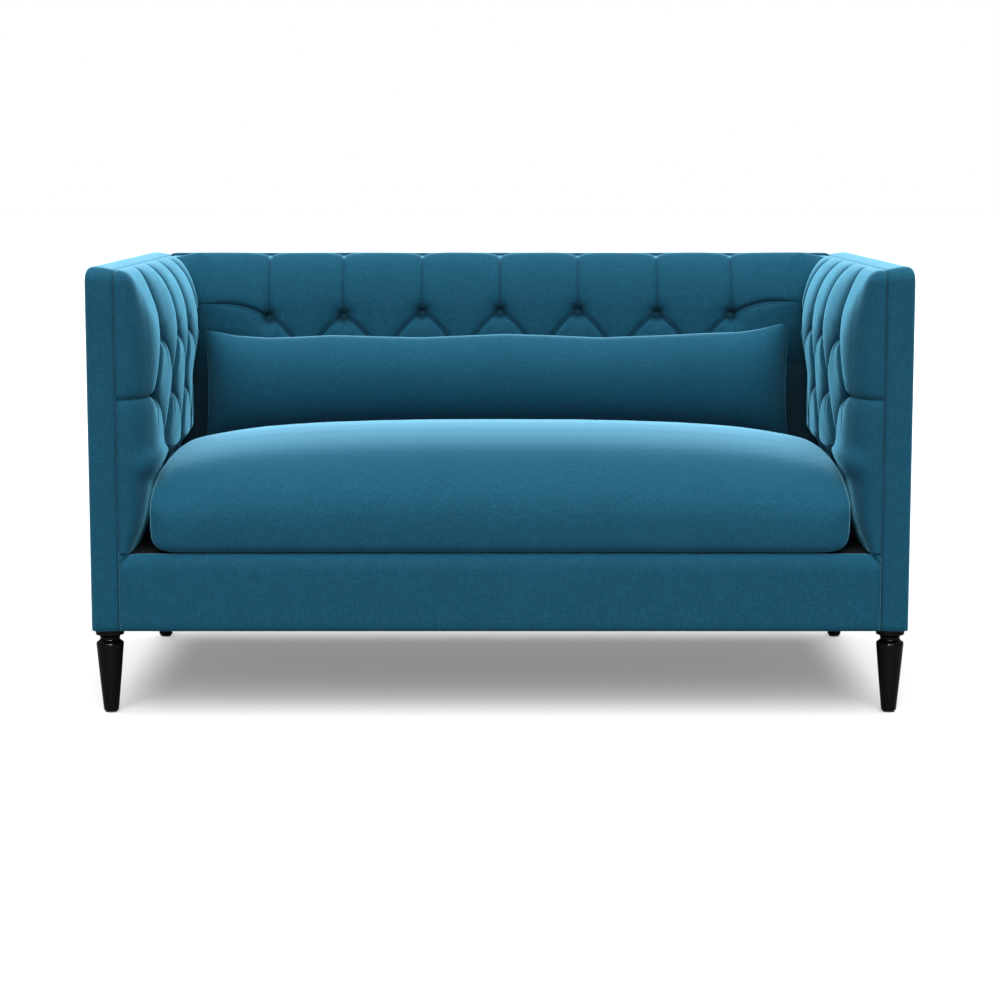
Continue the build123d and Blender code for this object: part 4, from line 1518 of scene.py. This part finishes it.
def seatForm(look):
    upper, lower = np.array(look["upper"]), np.array(look["lower"])
    stops = np.union1d(upper[:, 0], lower[:, 0])
    half = np.concatenate((np.arange(0.0, look["evenTo"], look["step"]), stops[stops > look["evenTo"]]))
    begin, deep = look["planRound"]
    front, rear = look["formEnds"]
    along, share = seatProfile(look)
    bm = bmesh.new()
    rings = []
    for x in np.concatenate((-half[:0:-1], half)):
        top, foot = np.interp(abs(x), *upper.T), np.interp(abs(x), *lower.T)
        over = max(0.0, (abs(x) - begin) / (half[-1] - begin))
        inset = deep * (1 - math.sqrt(1 - over**2))
        y = np.clip(along, front + inset, rear - inset)
        z = foot + share * (top - foot)
        rings.append(ringOf(bm, layer(x, y, z)))
    for near, far in zip(rings, rings[1:]):
        bmesh.ops.bridge_loops(bm, edges=near + far)
    closeUp(bm)
    return bm


def makeSeatCushion():
    look = seatCushion
    bm = evened(seatForm(look), look, "seatForm")
    points = swelled(bm, look, "seatCushion")
    wide = sofa["seamX"] - armThickness(points[:, 2]) - look["armGap"]
    points[:, 0] = np.clip(points[:, 0], -wide, wide)
    points = calmed(points, edgesOf(bm), look["armCalm"])
    points[:, 1] = np.clip(points[:, 1], *look["ends"])
    points[:, 2] = np.maximum(points[:, 2], np.interp(points[:, 1], look["restY"], look["restZ"]))
    moveTo(bm, points)
    makeFiner(velvetPiece("seatCushionCover", bm, "seat_cushion_cover", body="seat_cushion"))
    return points


def heightOver(points, x, y, cell):
    # highest of the points near each place, from a coarse map
    size = np.ceil((points.max(0) - points.min(0)) / cell).astype(int) + 3
    tops = np.full(size[:2], -1.0)
    low = points.min(0) - cell
    at = ((points - low) / cell).astype(int)
    np.maximum.at(tops, (at[:, 0], at[:, 1]), points[:, 2])
    i = np.clip(((x - low[0]) / cell).astype(int), 0, size[0] - 1)
    j = np.clip(((y - low[1]) / cell).astype(int), 0, size[1] - 1)
    return tops[i, j]


def makeBolster(seatPoints):
    look = bolster
    bm, inPaintedShade = shadedMesh()
    bmesh.ops.create_grid(bm, x_segments=look["columns"], y_segments=look["rows"], size=1.0)
    twin = bmesh.ops.duplicate(bm, geom=list(bm.faces) + list(bm.edges) + list(bm.verts))["geom"]
    rear = set(newParts(twin, bmesh.types.BMVert))
    side = np.array([1.0 if vert in rear else -1.0 for vert in bm.verts])
    flat = places(bm)
    a = np.sign(flat[:, 0]) * (1.0 - (1.0 - np.abs(flat[:, 0])) ** look["endCrowd"])
    b = np.sin(flat[:, 1] * quarterTurn)
    x = look["left"] + (a + 1) / 2 * (look["right"] - look["left"])
    top = np.interp(x, *np.array(look["topEdge"]).T) + look["topLift"]
    formGap, leastGap = look["seatGap"]
    across = np.linspace(look["left"], look["right"], look["seatStops"])
    under = heightOver(seatPoints, across, np.full(look["seatStops"], look["middle"]), look["seatCell"])
    low = np.interp(x, across, boxSmooth(under, look["seatSmooth"])) + formGap
    half = look["thick"] / 2 * (1.0 - np.abs(a) ** look["endPower"]) * np.cos(flat[:, 1] * quarterTurn)
    y = look["middle"] - look["lean"] * (b + 1) / 2 + side * half
    pull, pullPower = look["endPull"]
    x = x - np.sign(a) * pull * np.abs(a) ** pullPower * (1.0 - b**2)
    moveTo(bm, layer(x, y, (top + low) / 2 + (top - low) / 2 * b))
    dark, darkPower = look["endShade"]
    setShade(bm, inPaintedShade, dark * np.abs(a) ** darkPower)
    bmesh.ops.remove_doubles(bm, verts=bm.verts, dist=sofa["weld"])
    bmesh.ops.recalc_face_normals(bm, faces=bm.faces)
    points = swelled(bm, look, "bolster")
    points[:, 1] = np.minimum(points[:, 1], look["rear"])
    seat = heightOver(seatPoints, points[:, 0], points[:, 1], look["seatCell"])
    points[:, 2] = np.maximum(points[:, 2], seat + leastGap)
    moveTo(bm, points)
    makeFiner(velvetPiece("bolsterCover", bm, "bolster_cover", body="lumbar_bolster"))


makeFilling("seatCushionFilling", "seat_cushion_core", "seat_cushion", seatCushion["fillInset"])
makeFilling("bolsterFilling", "bolster_insert", "lumbar_bolster", bolster["fillInset"])
seatPoints = makeSeatCushion()
print("seat cushion made")
makeBolster(seatPoints)
print("bolster made")

# Finishes of the CAD nodes that stay, by words in their names

finishes = (
    (plain["frameTimber"], ("rail", "post", "stud", "stretchers", "braces", "blocks", "uprights")),
    (plain["zincSteel"], ("bolts", "inserts")),
    (plain["glidePlastic"], ("glides",)),
    (plain["webbingCloth"], ("webbing",)),
    (plain["linerBoard"], ("liner",)),
)
for name, node in nodes.items():
    for material, words in finishes:
        if any(word in name for word in words):
            node.data.materials.clear()
            node.data.materials.append(material)
print("frame finished")

# Stage: pale floor, soft light from above and in front, camera where the photograph was taken

stage = {
    "floor": 60.0,
    "floorCells": 8,
    "sky": (1.0, 1.0, 1.0, 1.0),
    "world": 0.27,
    # suns: strength, spread, where from
    "top": (4.3, 70.0, (0.0, 0.10, 1.0)),
    "front": (4.2, 50.0, (0.0, -1.0, 0.90)),
    # a lamp that shows in glossy finishes only
    "glossSize": (0.7, 0.4),
    "glossPower": 160.0,
    "glossPlace": (0.0, -3.4, 1.7),
    "glossAim": (0.0, 0.0, 0.3),
}
camera = {"lens": 89.63, "sensor": 36.0, "far": 100.0, "place": (0.0, -5.0, 1.0099), "tilt": 82.5}


def makeStage():
    bm = bmesh.new()
    cells = stage["floorCells"]
    bmesh.ops.create_grid(bm, x_segments=cells, y_segments=cells, size=stage["floor"])
    mesh = newMesh("floor", bm)
    mesh.materials.append(paleFloor)
    newObject("floor", mesh)
    world = bpy.data.worlds.new("studio")
    world.use_nodes = True
    sky = world.node_tree.nodes["Background"]
    sky.inputs["Color"].default_value = stage["sky"]
    seen = Flow(world.node_tree).node("ShaderNodeLightPath", output="Is Camera Ray")
    # the backdrop looks white, and lights the sofa a little less than that
    shine = seen * (1.0 - stage["world"]) + stage["world"]
    world.node_tree.links.new(shine.socket, sky.inputs["Strength"])
    bpy.context.scene.world = world
    bpy.context.scene.view_settings.view_transform = "Standard"


def newLamp(name, kind, power, way):
    light = bpy.data.lights.new(name, kind)
    light.energy = power
    lamp = newObject(name, light)
    lamp.rotation_mode = "QUATERNION"
    lamp.rotation_quaternion = way.to_track_quat("-Z", "Y")
    return lamp


def makeLights():
    for name in ("top", "front"):
        power, spread, source = stage[name]
        sun = newLamp(name + "Light", "SUN", power, -Vector(source))
        sun.data.angle = math.radians(spread)
    place = Vector(stage["glossPlace"])
    gloss = newLamp("glossLight", "AREA", stage["glossPower"], Vector(stage["glossAim"]) - place)
    gloss.data.shape = "RECTANGLE"
    gloss.data.size, gloss.data.size_y = stage["glossSize"]
    gloss.location = place
    gloss.visible_diffuse = False


def makeCamera():
    view = bpy.data.cameras.new("photoView")
    view.lens = camera["lens"]
    view.sensor_width = camera["sensor"]
    view.clip_end = camera["far"]
    eye = newObject("photoView", view)
    eye.location = camera["place"]
    eye.rotation_euler = (math.radians(camera["tilt"]), 0.0, 0.0)
    bpy.context.scene.camera = eye


makeStage()
makeLights()
makeCamera()
print("stage set")
